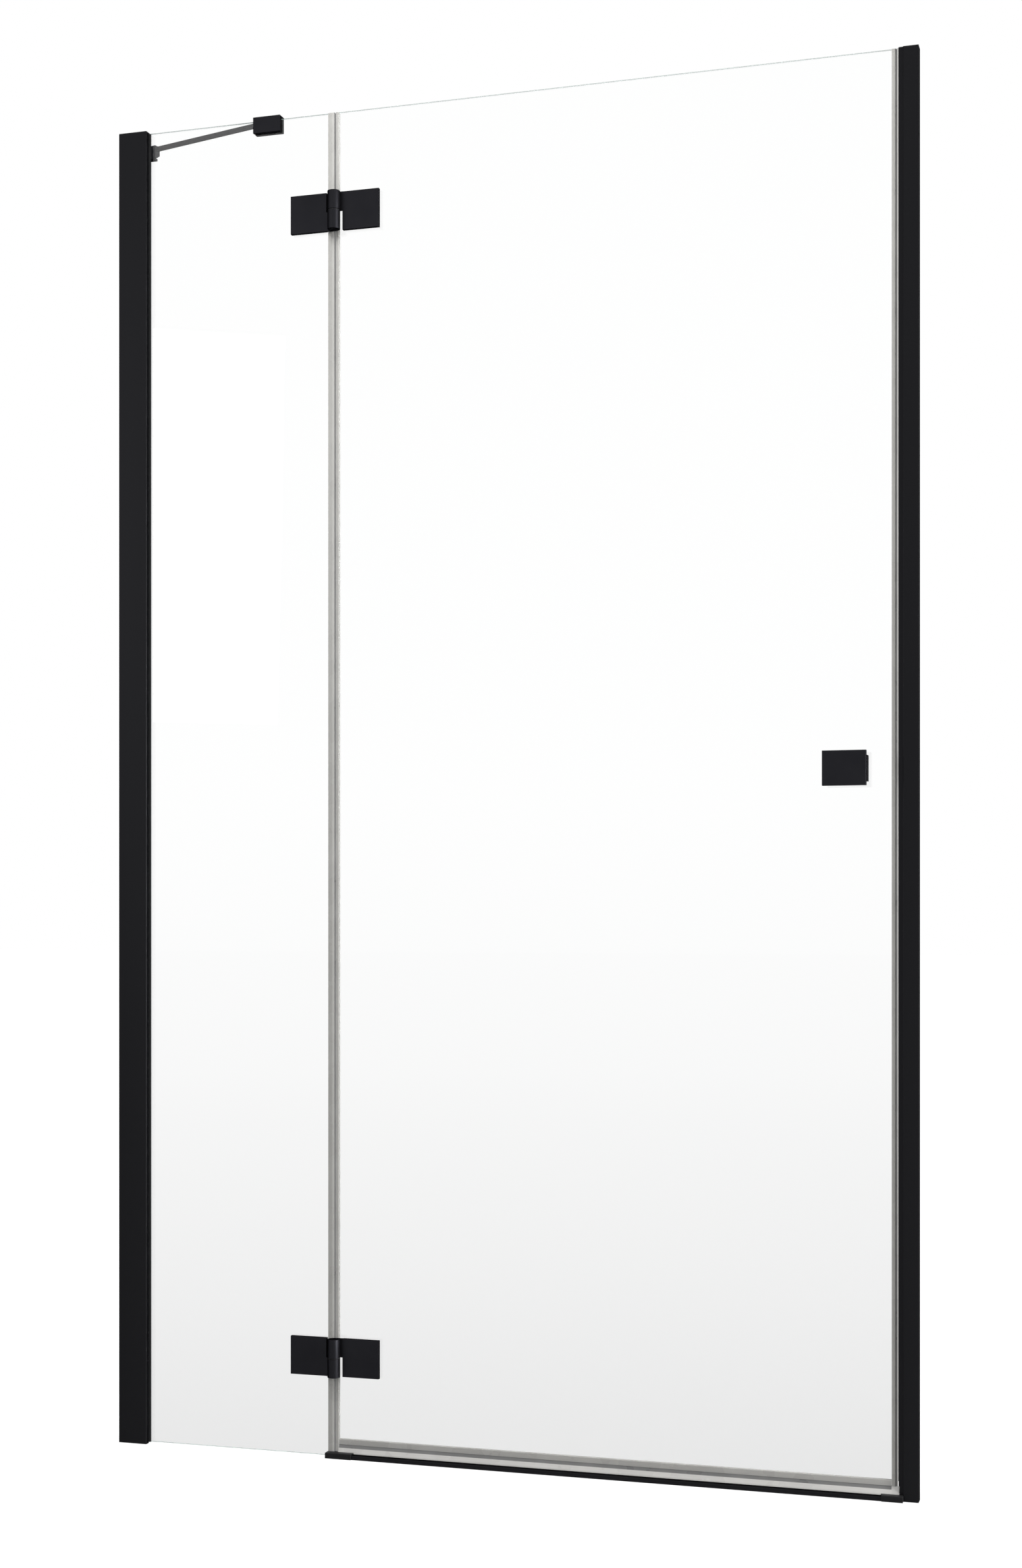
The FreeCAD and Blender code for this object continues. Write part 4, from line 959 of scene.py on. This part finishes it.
    def door_hinge(self) -> None:
        """Builds the seal on the door's hinge edge."""
        low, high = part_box("door_hinge_seal")
        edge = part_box("door_glass")[0].x
        face = self.face
        section = self.section(
            [
                # Lighter vinyl with a painted highlight on the rounded front by the joint.
                (low.x, -face, Round.JOINT, Vinyl.LIP),
                (edge, -face, Round.FINE, Vinyl.LEG),
                (high.x, -face, Round.TIP, Vinyl.LEG),
                *self.slot(high.x, edge - self.grip, -1),
                (high.x, face, Round.TIP, Vinyl.LEG),
                # Painted shade on the face towards the joint's gap.
                (low.x, face, Round.JOINT, Vinyl.WEB),
            ]
        )
        self.seal("door_hinge_seal", [section.straight(low.z, high.z, Axis.Z)], Body.DOOR)

    def closing_side(self) -> None:
        """Builds the seal on the door's free edge, with a flared lip."""
        low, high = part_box("closing_side_seal")
        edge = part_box("door_glass")[1].x
        face, half = self.face, self.closing_half
        web, slope = edge + self.closing_web, edge + self.closing_slope
        root, tip = Vector((web, -self.lip_root)), Vector((high.x, low.y))
        section = self.section(
            [
                (low.x, -face, Round.TIP, Vinyl.LEG),
                (edge, -face, Round.TIP, Vinyl.LEG),
                # Painted shade on the web and the lip's root, in the recess behind the legs.
                (slope, -half, Round.FOLD, Vinyl.WEB),
                (web, -half, Round.WEB, Vinyl.WEB),
                (*root, Round.TIP, Vinyl.WEB),
                (*root.lerp(tip, self.lip_shade_share), Round.FINE, Vinyl.LEG),
                # Lighter vinyl with a painted highlight on the lip's tip.
                (*tip, Round.TIP, Vinyl.LIP),
                (high.x - self.lip_bevel, low.y + self.lip, Round.TIP, Vinyl.LIP),
                # Painted shade on the web behind the lip.
                (web, self.lip - self.lip_root, Round.TIP, Vinyl.WEB),
                (web, half, Round.WEB, Vinyl.WEB),
                (slope, half, Round.FOLD, Vinyl.LEG),
                (edge, face, Round.TIP, Vinyl.LEG),
                (low.x, face, Round.TIP, Vinyl.LEG),
                *self.slot(low.x, edge + self.grip, 1),
            ]
        )
        self.seal("closing_side_seal", [section.straight(low.z, high.z, Axis.Z)], Body.DOOR)

    def bottom(self) -> None:
        """Builds the seal under the door, with a sloping wiper in front and a drip fin behind.

        Over the sill's end caps the wiper's tip is cut level: the height of its points is raised to the
        cut, and they slide up along the wiper's slope. Past the legs only the wiper runs on.
        """
        low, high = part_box("bottom_seal")
        glass_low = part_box("door_glass")[0].z
        left_cap, right_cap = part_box("threshold_left_cap"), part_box("threshold_right_cap")
        face, thick = self.face, self.wiper
        web, fin_low = glass_low - self.bottom_web, glass_low - self.bottom_web - self.drip
        root, tip = Vector((-self.wiper_root, web)), Vector((low.y, low.z))
        slope = (tip.x - root.x) / (tip.y - root.y)
        # Points on the wiper's straight front where its painted shade ends, a painted highlight ends and a
        # second painted highlight starts.
        shade_end, highlight_end, highlight_start = (root.lerp(tip, share) for share in self.wiper_bands)
        section = self.section(
            [
                (-face, high.z, Round.TIP, Vinyl.LEG),
                # Painted shade under the front leg and on the wiper's root.
                (-face, web, Round.WEB, Vinyl.WEB),
                (*root, Round.FOLD, Vinyl.WEB),
                # Bands of painted highlight on the wiper's lit front, with plain vinyl between them.
                (*shade_end, Round.CREASE, Vinyl.LIP),
                (*highlight_end, Round.CREASE, Vinyl.LEG),
                (*highlight_start, Round.CREASE, Vinyl.LIP),
                # Painted shade under the wiper's tip, and past its rear, under the web.
                (*tip, Round.EASED, Vinyl.WEB),
                (tip.x + thick, tip.y, Round.EASED, Vinyl.LIP),
                (root.x + thick, web, Round.TIP, Vinyl.WEB),
                (-root.x - thick, web, Round.TIP, Vinyl.LIP),
                (high.y - thick, fin_low, Round.EASED, Vinyl.LIP),
                (high.y, fin_low, Round.EASED, Vinyl.LIP),
                (-root.x, web, Round.FOLD, Vinyl.WEB),
                (face, web, Round.WEB, Vinyl.LEG),
                (face, high.z, Round.TIP, Vinyl.LEG),
                *((depth, z, *rest) for z, depth, *rest in self.slot(high.z, glass_low - self.grip, 1)),
            ]
        )
        cut = left_cap[1].z + self.cap_gap
        full = section.outline()
        rise = np.maximum(cut - full[:, 1], 0.0)
        trimmed = full + np.column_stack([rise * slope, rise])
        left, right = left_cap[1].x + self.cap_margin, right_cap[0].x - self.cap_margin
        legs_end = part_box("closing_side_seal")[0].x - self.end_gap
        stations = np.array([low.x, left - SUDDEN_CHANGE, left, right, right + SUDDEN_CHANGE, legs_end])
        legs = section.along(np.stack([trimmed, trimmed, full, full, trimmed, trimmed]), stations, Axis.X)
        cut_tip = tip.x + (cut - tip.y) * slope
        tail = self.section(
            [
                (*root, Round.EASED, Vinyl.LIP),
                (cut_tip, cut, Round.EASED, Vinyl.LIP),
                (cut_tip + thick, cut, Round.EASED, Vinyl.LIP),
                (root.x + thick, web, Round.EASED, Vinyl.LIP),
            ]
        )
        self.seal("bottom_seal", [legs, tail.straight(legs_end, high.x, Axis.X)], Body.DOOR)


@dataclass(frozen=True)
class FixingSizes:
    """Sizes of a flush fixing through the glass.

    Attributes:
        front: Radius of the glass hole at the front.
        rear: Radius at the rear.
        sleeve: Wall of the sleeve.
        head: Radius of the screw's head.
        shank: Radius of the screw.
        drive: Half the width of the hexagonal drive.
        drive_depth: Depth of the drive.
        drive_share: Hexagon share of the drive's lead-in.
        glass: Half the thickness of the glass.
        gap: Gap between turned pieces.
        rim: Width of the broken rims and of the drive's lead-in.
        drop: Depth of the screw's rim and of the drive's lead-in.
        point: Chamfer of the screw's point and depth of the drive's cone.
        groove: Depth of the turned grooves.
        grooves: Ridges and grooves on a disc.
        groove_margins: Distance of the grooves from the disc's rim and from the screw.
    """

    front: float
    rear: float
    sleeve: float = 0.0008
    head: float = 0.0038
    shank: float = 0.002
    drive: float = 0.00115
    drive_depth: float = 0.0012
    drive_share: float = 0.6
    glass: float = 0.003
    gap: float = 0.00005
    rim: float = 0.0003
    drop: float = 0.0002
    point: float = 0.0004
    groove: float = 0.00008
    grooves: int = 7
    groove_margins: Span = (0.0009, 0.0006)

    def disc_rows(self) -> list[LatheRow]:
        """Works out a disc: a cone with broken rims and shallow turned grooves, countersunk for its screw.

        Returns:
            Rows for the lathe, joined as a ring.
        """
        front, rear = self.front - self.sleeve - self.gap, self.rear - self.sleeve - self.gap
        bore, sink = self.shank + self.gap, self.head + self.gap
        face, rim = self.glass, self.rim
        outer, inner = rear - self.groove_margins[0], sink + self.groove_margins[1]
        ridges = np.linspace(outer, inner, self.grooves)
        cut = np.where(np.arange(self.grooves) % 2 == 0, 0.0, self.groove)
        rows = [
            (bore, -face), (front - rim, -face), (front, rim - face),
            (rear - rim * (rear - front) / (2 * face), face - rim), (rear - 2 * rim, face),
            *zip(ridges.tolist(), (face - cut).tolist()),
            (sink, face), (bore, face - (self.head - self.shank)),
        ]
        return [(radius, height, 0.0) for radius, height in rows]

    def screw_rows(self, tip: float) -> list[LatheRow]:
        """Works out a countersunk screw with a hexagonal drive.

        Args:
            tip: Height of the screw's point.

        Returns:
            Rows for the lathe, from the point to the drive's floor.
        """
        face = self.glass - self.gap
        neck = face - (self.head - self.shank)
        floor = face - self.drive_depth
        return [
            (0.0, tip, 0.0), (self.shank - self.point, tip, 0.0), (self.shank, tip + self.point, 0.0),
            (self.shank, neck, 0.0), (self.head - self.drop, face - self.drop, 0.0),
            (self.head - self.rim, face, 0.0), (self.drive + self.rim, face, self.drive_share),
            (self.drive, face - self.drop, 1.0), (self.drive, floor, 1.0), (0.0, floor - self.point, 0.0),
        ]


@dataclass
class FlushFixings(SubAssembly):
    """Turned discs and countersunk screws that hold hardware through the glass.

    Attributes:
        leaf: Sizes of the hinge leaves' fixings.
        knob: Sizes of the knob's fixings.
    """

    leaf: FixingSizes = FixingSizes(front=0.008, rear=0.011)
    knob: FixingSizes = FixingSizes(front=0.0055, rear=0.0075)

    def build(self) -> None:
        """Builds the fixings of both kinds of leaf and of the knob."""
        self.group("fixed_leaf", Body.FRAME, self.leaf)
        self.group("door_leaf", Body.DOOR, self.leaf)
        self.group("knob", Body.DOOR, self.knob)

    def group(self, name: str, body: Body, sizes: FixingSizes) -> None:
        """Builds the discs and screws of one kind of hardware and dresses the sleeves.

        Args:
            name: Start of the nodes' names.
            body: Body that the fixings move with.
            sizes: Their sizes.
        """
        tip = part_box(name + "_screws")[0].y
        self.turned(name + "_discs", name, sizes.disc_rows(), True, body, Slot.DISC)
        self.turned(name + "_screws", name, sizes.screw_rows(tip), False, body, Slot.STEEL)
        self.dress([name + "_sleeves"], Slot.ACETAL)

    def turned(
        self, node: str, name: str, rows: Sequence[LatheRow], ring: bool, body: Body, slot: Slot
    ) -> None:
        """Turns a piece at each fixing of a group, in place of a node.

        Args:
            node: Node to stand for.
            name: Start of the group's names.
            rows: Rows for the lathe.
            ring: True where the last row joins the first.
            body: Body that the pieces move with.
            slot: Material slot.
        """
        places = solids_in_row(name + "_screws")
        shells = [lathe(rows, place, Vector((0, 1, 0)), ring) for place in places]
        mesh = Shell.together(shells).mesh(node + "_turned")
        self.piece(node + "_turned", mesh, body, slot, node)


@dataclass
class Hinges(SubAssembly):
    """Two hinges: leaves with knuckles, pins, bushes, washers and leaf gaskets.

    Attributes:
        edge: Width of the leaves' broken edges.
    """

    edge: float = 0.00035

    def build(self) -> None:
        """Builds the leaves and dresses the inner pieces."""
        for hinge in ("lower_hinge_", "upper_hinge_"):
            self.refined(hinge + "fixed_leaf", Body.FRAME, Slot.HARDWARE, self.edge)
            self.refined(hinge + "door_leaf", Body.DOOR, Slot.HARDWARE, self.edge)
            self.dress([hinge + "fixed_gasket", hinge + "door_gasket"], Slot.RUBBER)
            self.dress([hinge + "pin"], Slot.STEEL)
            self.dress([hinge + "bush", hinge + "washer"], Slot.ACETAL)


@dataclass
class Sill(SubAssembly):
    """Low strip under the door with its two end caps.

    Attributes:
        edge: Width of the broken edges.
    """

    edge: float = 0.0004

    def build(self) -> None:
        """Builds the strip and the caps."""
        self.refined("threshold_strip", Body.FRAME, Slot.ALUMINIUM, self.edge)
        for node in ("threshold_left_cap", "threshold_right_cap"):
            self.refined(node, Body.FRAME, Slot.PLASTIC, self.edge)


@dataclass
class Brace(SubAssembly):
    """Bar from the left wall to a clamp on the fixed pane.

    Attributes:
        edge: Width of the broken edges at both ends.
        bar_edge: Width of the bar's broken edges.
    """

    edge: float = 0.0004
    bar_edge: float = 0.0005

    def build(self) -> None:
        """Builds the bar, its wall flange, the swivel and the clamp."""
        self.refined("stabiliser_bar", Body.FRAME, Slot.ALUMINIUM, self.bar_edge)
        for node in ("bar_wall_flange", "bar_swivel", "clamp_body"):
            self.refined(node, Body.FRAME, Slot.HARDWARE, self.edge)
        self.dress(["clamp_pads"], Slot.RUBBER)
        self.dress(["bar_pivot_screw"], Slot.HARDWARE)
        self.dress(["clamp_set_screws"], Slot.STEEL)


@dataclass
class Knob(SubAssembly):
    """Plate knob on a foot, with its gasket.

    Attributes:
        edge: Width of the broken edges.
    """

    edge: float = 0.0004

    def build(self) -> None:
        """Builds the knob and dresses its gasket."""
        self.refined("knob", Body.DOOR, Slot.HARDWARE, self.edge)
        self.dress(["knob_gasket"], Slot.RUBBER)


@dataclass(frozen=True)
class Lamp:
    """Soft flat lamp.

    Attributes:
        name: Name of the lamp.
        place: Its middle.
        target: Point that it faces.
        size: Width and height.
        power: Power in watts.
        mirrored: True where metal and glass show the lamp.
    """

    name: str
    place: Point
    target: Point
    size: Span
    power: float
    mirrored: bool = True

    def build(self) -> None:
        """Hangs the lamp in the scene."""
        light = bpy.data.lights.new(self.name, "AREA")
        light.shape = "RECTANGLE"
        light.size, light.size_y = self.size
        light.energy = self.power
        made = bpy.data.objects.new(self.name, light)
        made.location = self.place
        facing = Vector(self.target) - Vector(self.place)
        made.rotation_euler = facing.to_track_quat("-Z", "Y").to_euler()
        made.visible_camera = False
        made.visible_glossy = self.mirrored
        made.visible_transmission = self.mirrored
        bpy.context.scene.collection.objects.link(made)


def reckon(tree: NodeTree, kind: Sum, first: Number, second: Number) -> NodeSocket:
    """Adds a sum of two numbers to a graph.

    Args:
        tree: Graph to add to.
        kind: Kind of sum.
        first: First number, or the output that gives it.
        second: Second number, or the output that gives it.

    Returns:
        The result.
    """
    node = tree.nodes.new("ShaderNodeMath")
    node.operation = kind.value
    for socket, value in zip(node.inputs, (first, second)):
        if isinstance(value, NodeSocket):
            tree.links.new(value, socket)
        else:
            socket.default_value = value
    return node.outputs[0]


@dataclass
class Studio:
    """Camera, lamps, pale surroundings and floor.

    Attributes:
        eye: Place of the camera.
        turn: Turn of the camera about the vertical, in degrees.
        lens: Focal length in millimetres.
        rise: Vertical shift of the picture.
        ambient: Light of the surroundings on the door.
        floor_reach: Half the width of the floor.
        floor_drop: Depth of the floor under the door.
        floor_colour: Colour of the floor.
        floor_glow: Light that the floor adds in plain view, next to the door.
        glow_rise: Distances from the door's middle between which the glow rises to white.
        mirrored_floor: Brightness of the floor in metal and on the front of glass, next to the door.
        mirrored_rise: Distances between which that brightness rises to white.
        fall_slopes: Slopes of a falling line between which the view through glass gets darker.
        fall_depth: How much darker it is at the lower slope.
        fall_power: Power of the curve between the two slopes.
        fall_start: Least level distance that a slope is worked out for.
        lamps: Lamps around the door.
    """

    eye: Point = (0.950045, -3.052386, 0.808585)
    turn: float = 16.983
    lens: float = 50.4413
    rise: float = 0.08244
    ambient: float = 0.14
    floor_reach: float = 40.0
    floor_drop: float = 0.0004
    floor_colour: float = 0.25
    floor_glow: float = 0.85
    glow_rise: Span = (0.8, 3.0)
    mirrored_floor: float = 0.5
    mirrored_rise: Span = (0.5, 8.0)
    fall_slopes: Span = (0.068, -0.257)
    fall_depth: float = 0.2
    fall_power: float = 1.6
    fall_start: float = 0.5
    lamps: tuple[Lamp, ...] = (
        Lamp("key_lamp", (-0.1, -1.5, 3.1), (0.1, 0.0, 1.5), (1.3, 1.3), 64.0, mirrored=False),
        Lamp("right_strip", (4.2, -0.9, 1.2), (0.0, 0.0, 1.0), (0.9, 2.6), 340.0),
        Lamp("front_panel", (-2.9, -4.0, 2.2), (-0.6, 0.0, 1.4), (1.6, 1.4), 22.0),
        Lamp("left_strip", (-4.4, 0.5, 1.2), (0.3, 0.0, 1.0), (0.9, 2.6), 140.0),
    )

    def build(self) -> None:
        """Sets up the camera, the surroundings, the lamps and the floor."""
        self.camera()
        self.surroundings()
        for lamp in self.lamps:
            lamp.build()
        self.floor()
        bpy.context.scene.view_settings.view_transform = "Standard"

    def camera(self) -> None:
        """Places the camera."""
        data = bpy.data.cameras.new("camera")
        data.lens = self.lens
        data.shift_y = self.rise
        made = bpy.data.objects.new("camera", data)
        made.location = self.eye
        made.rotation_euler = (math.pi / 2, 0.0, math.radians(self.turn))
        bpy.context.scene.collection.objects.link(made)
        bpy.context.scene.camera = made

    @staticmethod
    def in_plain_view(tree: NodeTree, path: Node) -> NodeSocket:
        """Tells the eye's own rays and mirrored ones from those through glass and from light.

        A ray through glass counts as a mirrored one too, so that it is taken off.

        Args:
            tree: Graph to add to.
            path: Node that tells the kind of ray.

        Returns:
            1 on a ray from the eye or a mirror, 0 on any other.
        """
        through = path.outputs["Is Transmission Ray"]
        mirrored = reckon(tree, Sum.LESS, path.outputs["Is Glossy Ray"], through)
        return reckon(tree, Sum.LARGER, path.outputs["Is Camera Ray"], mirrored)

    def fall_off(self, tree: NodeTree, slope: NodeSocket) -> NodeSocket:
        """Grades the view through glass: white above, darker with a falling slope.

        The brightness is 1 less the depth times a power of u, which runs from 0 to 1 between both slopes.

        Args:
            tree: Graph to add to.
            slope: Slope of the line of view.

        Returns:
            The brightness.
        """
        span = tree.nodes.new("ShaderNodeMapRange")
        span.inputs["From Min"].default_value, span.inputs["From Max"].default_value = self.fall_slopes
        tree.links.new(slope, span.inputs["Value"])
        curve = reckon(tree, Sum.POWER, span.outputs["Result"], self.fall_power)
        return reckon(tree, Sum.LESS, 1.0, reckon(tree, Sum.TIMES, curve, self.fall_depth))

    @staticmethod
    def to_white(tree: NodeTree, reach: NodeSocket, ends: Span, start: float) -> NodeSocket:
        """Makes a brightness that rises evenly to 1.

        Args:
            tree: Graph to add to.
            reach: Distance to follow.
            ends: Distances at which the rise starts and ends.
            start: Brightness before the rise.

        Returns:
            The brightness.
        """
        rise = tree.nodes.new("ShaderNodeMapRange")
        rise.inputs["From Min"].default_value, rise.inputs["From Max"].default_value = ends
        rise.inputs["To Min"].default_value = start
        tree.links.new(reach, rise.inputs["Value"])
        return rise.outputs["Result"]

    def surroundings(self) -> None:
        """Makes the world: white to the eye and in metal, graded through glass, softer as light."""
        world = bpy.data.worlds.new("studio")
        bpy.context.scene.world = world
        world.use_nodes = True
        tree = world.node_tree
        tree.nodes.clear()
        path = tree.nodes.new("ShaderNodeLightPath")
        direction = tree.nodes.new("ShaderNodeTexCoord").outputs["Generated"]
        parts = tree.nodes.new("ShaderNodeSeparateXYZ")
        tree.links.new(direction, parts.inputs[0])
        graded = self.fall_off(tree, parts.outputs["Z"])
        through = reckon(tree, Sum.TIMES, path.outputs["Is Transmission Ray"], graded)
        shown = reckon(tree, Sum.LARGER, self.in_plain_view(tree, path), through)
        background = tree.nodes.new("ShaderNodeBackground")
        background.inputs["Color"].default_value = (1.0, 1.0, 1.0, 1.0)
        tree.links.new(reckon(tree, Sum.LARGER, shown, self.ambient), background.inputs["Strength"])
        output = tree.nodes.new("ShaderNodeOutputWorld")
        tree.links.new(background.outputs[0], output.inputs["Surface"])

    def floor(self) -> None:
        """Lays a pale floor that keeps the shadow and is graded where it shows through glass."""
        ends = np.array([-self.floor_reach, self.floor_reach])
        x, y = np.meshgrid(ends, ends)
        points = np.column_stack([x.ravel(), y.ravel(), np.full(x.size, -self.floor_drop)])
        mesh = Shell(points, np.array([[0, 1, 3, 2]]), np.zeros(1, int)).mesh("floor")
        made = bpy.data.objects.new("floor", mesh)
        bpy.context.scene.collection.objects.link(made)
        mesh.materials.append(self.floor_finish())

    def slope_to(self, tree: NodeTree, position: NodeSocket) -> NodeSocket:
        """Works out how steeply a line from a fixed point above the floor falls to a place on it.

        The slope is the point's height, taken as negative, over the level distance straight ahead.

        Args:
            tree: Graph to add to.
            position: Place on the floor.

        Returns:
            The slope.
        """
        angle = math.radians(self.turn)
        forward = Vector((-math.sin(angle), math.cos(angle), 0.0))
        ahead = tree.nodes.new("ShaderNodeVectorMath")
        ahead.operation = "DOT_PRODUCT"
        ahead.inputs[1].default_value = forward
        tree.links.new(position, ahead.inputs[0])
        distance = reckon(tree, Sum.LESS, ahead.outputs["Value"], forward.dot(Vector(self.eye)))
        return reckon(tree, Sum.OVER, -self.eye[2], reckon(tree, Sum.LARGER, distance, self.fall_start))

    def glow(self, tree: NodeTree, path: Node, position: NodeSocket) -> NodeSocket:
        """Works out the light that the floor shows in plain view and in mirrors.

        Args:
            tree: Graph to add to.
            path: Node that tells the kind of ray.
            position: Place on the floor.

        Returns:
            The strength of the light.
        """
        away = tree.nodes.new("ShaderNodeVectorMath")
        away.operation = "LENGTH"
        tree.links.new(position, away.inputs[0])
        reach = away.outputs["Value"]
        in_view = self.to_white(tree, reach, self.glow_rise, self.floor_glow)
        in_mirror = self.to_white(tree, reach, self.mirrored_rise, self.mirrored_floor)
        plain = reckon(tree, Sum.TIMES, path.outputs["Is Camera Ray"], in_view)
        mirrored = reckon(tree, Sum.TIMES, self.in_plain_view(tree, path), in_mirror)
        return reckon(tree, Sum.LARGER, plain, mirrored)

    def floor_finish(self) -> Material:
        """Makes the floor's finish: a matt surface plus the light that it shows to eye, metal and glass.

        Returns:
            The new material.
        """
        material = bpy.data.materials.new("studio_floor")
        material.use_nodes = True
        tree = material.node_tree
        tree.nodes.clear()
        path = tree.nodes.new("ShaderNodeLightPath")
        position = tree.nodes.new("ShaderNodeNewGeometry").outputs["Position"]
        seen = tree.nodes.new("ShaderNodeEmission")
        tree.links.new(self.fall_off(tree, self.slope_to(tree, position)), seen.inputs["Strength"])
        light = tree.nodes.new("ShaderNodeEmission")
        tree.links.new(self.glow(tree, path, position), light.inputs["Strength"])
        matt = tree.nodes.new("ShaderNodeBsdfDiffuse")
        matt.inputs["Color"].default_value = (*[self.floor_colour] * 3, 1.0)
        lit = tree.nodes.new("ShaderNodeAddShader")
        tree.links.new(light.outputs[0], lit.inputs[0])
        tree.links.new(matt.outputs[0], lit.inputs[1])
        either = tree.nodes.new("ShaderNodeMixShader")
        tree.links.new(path.outputs["Is Transmission Ray"], either.inputs["Fac"])
        tree.links.new(lit.outputs[0], either.inputs[1])
        tree.links.new(seen.outputs[0], either.inputs[2])
        output = tree.nodes.new("ShaderNodeOutputMaterial")
        tree.links.new(either.outputs[0], output.inputs["Surface"])
        return material


def main() -> None:
    """Builds every sub-assembly and reports its pieces, then sets up the studio."""
    logging.basicConfig(level=logging.INFO, format="%(name)s: %(message)s")
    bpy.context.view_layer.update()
    finishes = FinishBook()
    for kind in (WallProfiles, Glazing, Seals, Hinges, FlushFixings, Sill, Brace, Knob):
        group = kind(finishes)
        group.build()
        for item in group.made:
            LOG.info("%s: %s", kind.__name__, item.name)
    Studio().build()


if __name__ == "__main__":
    main()
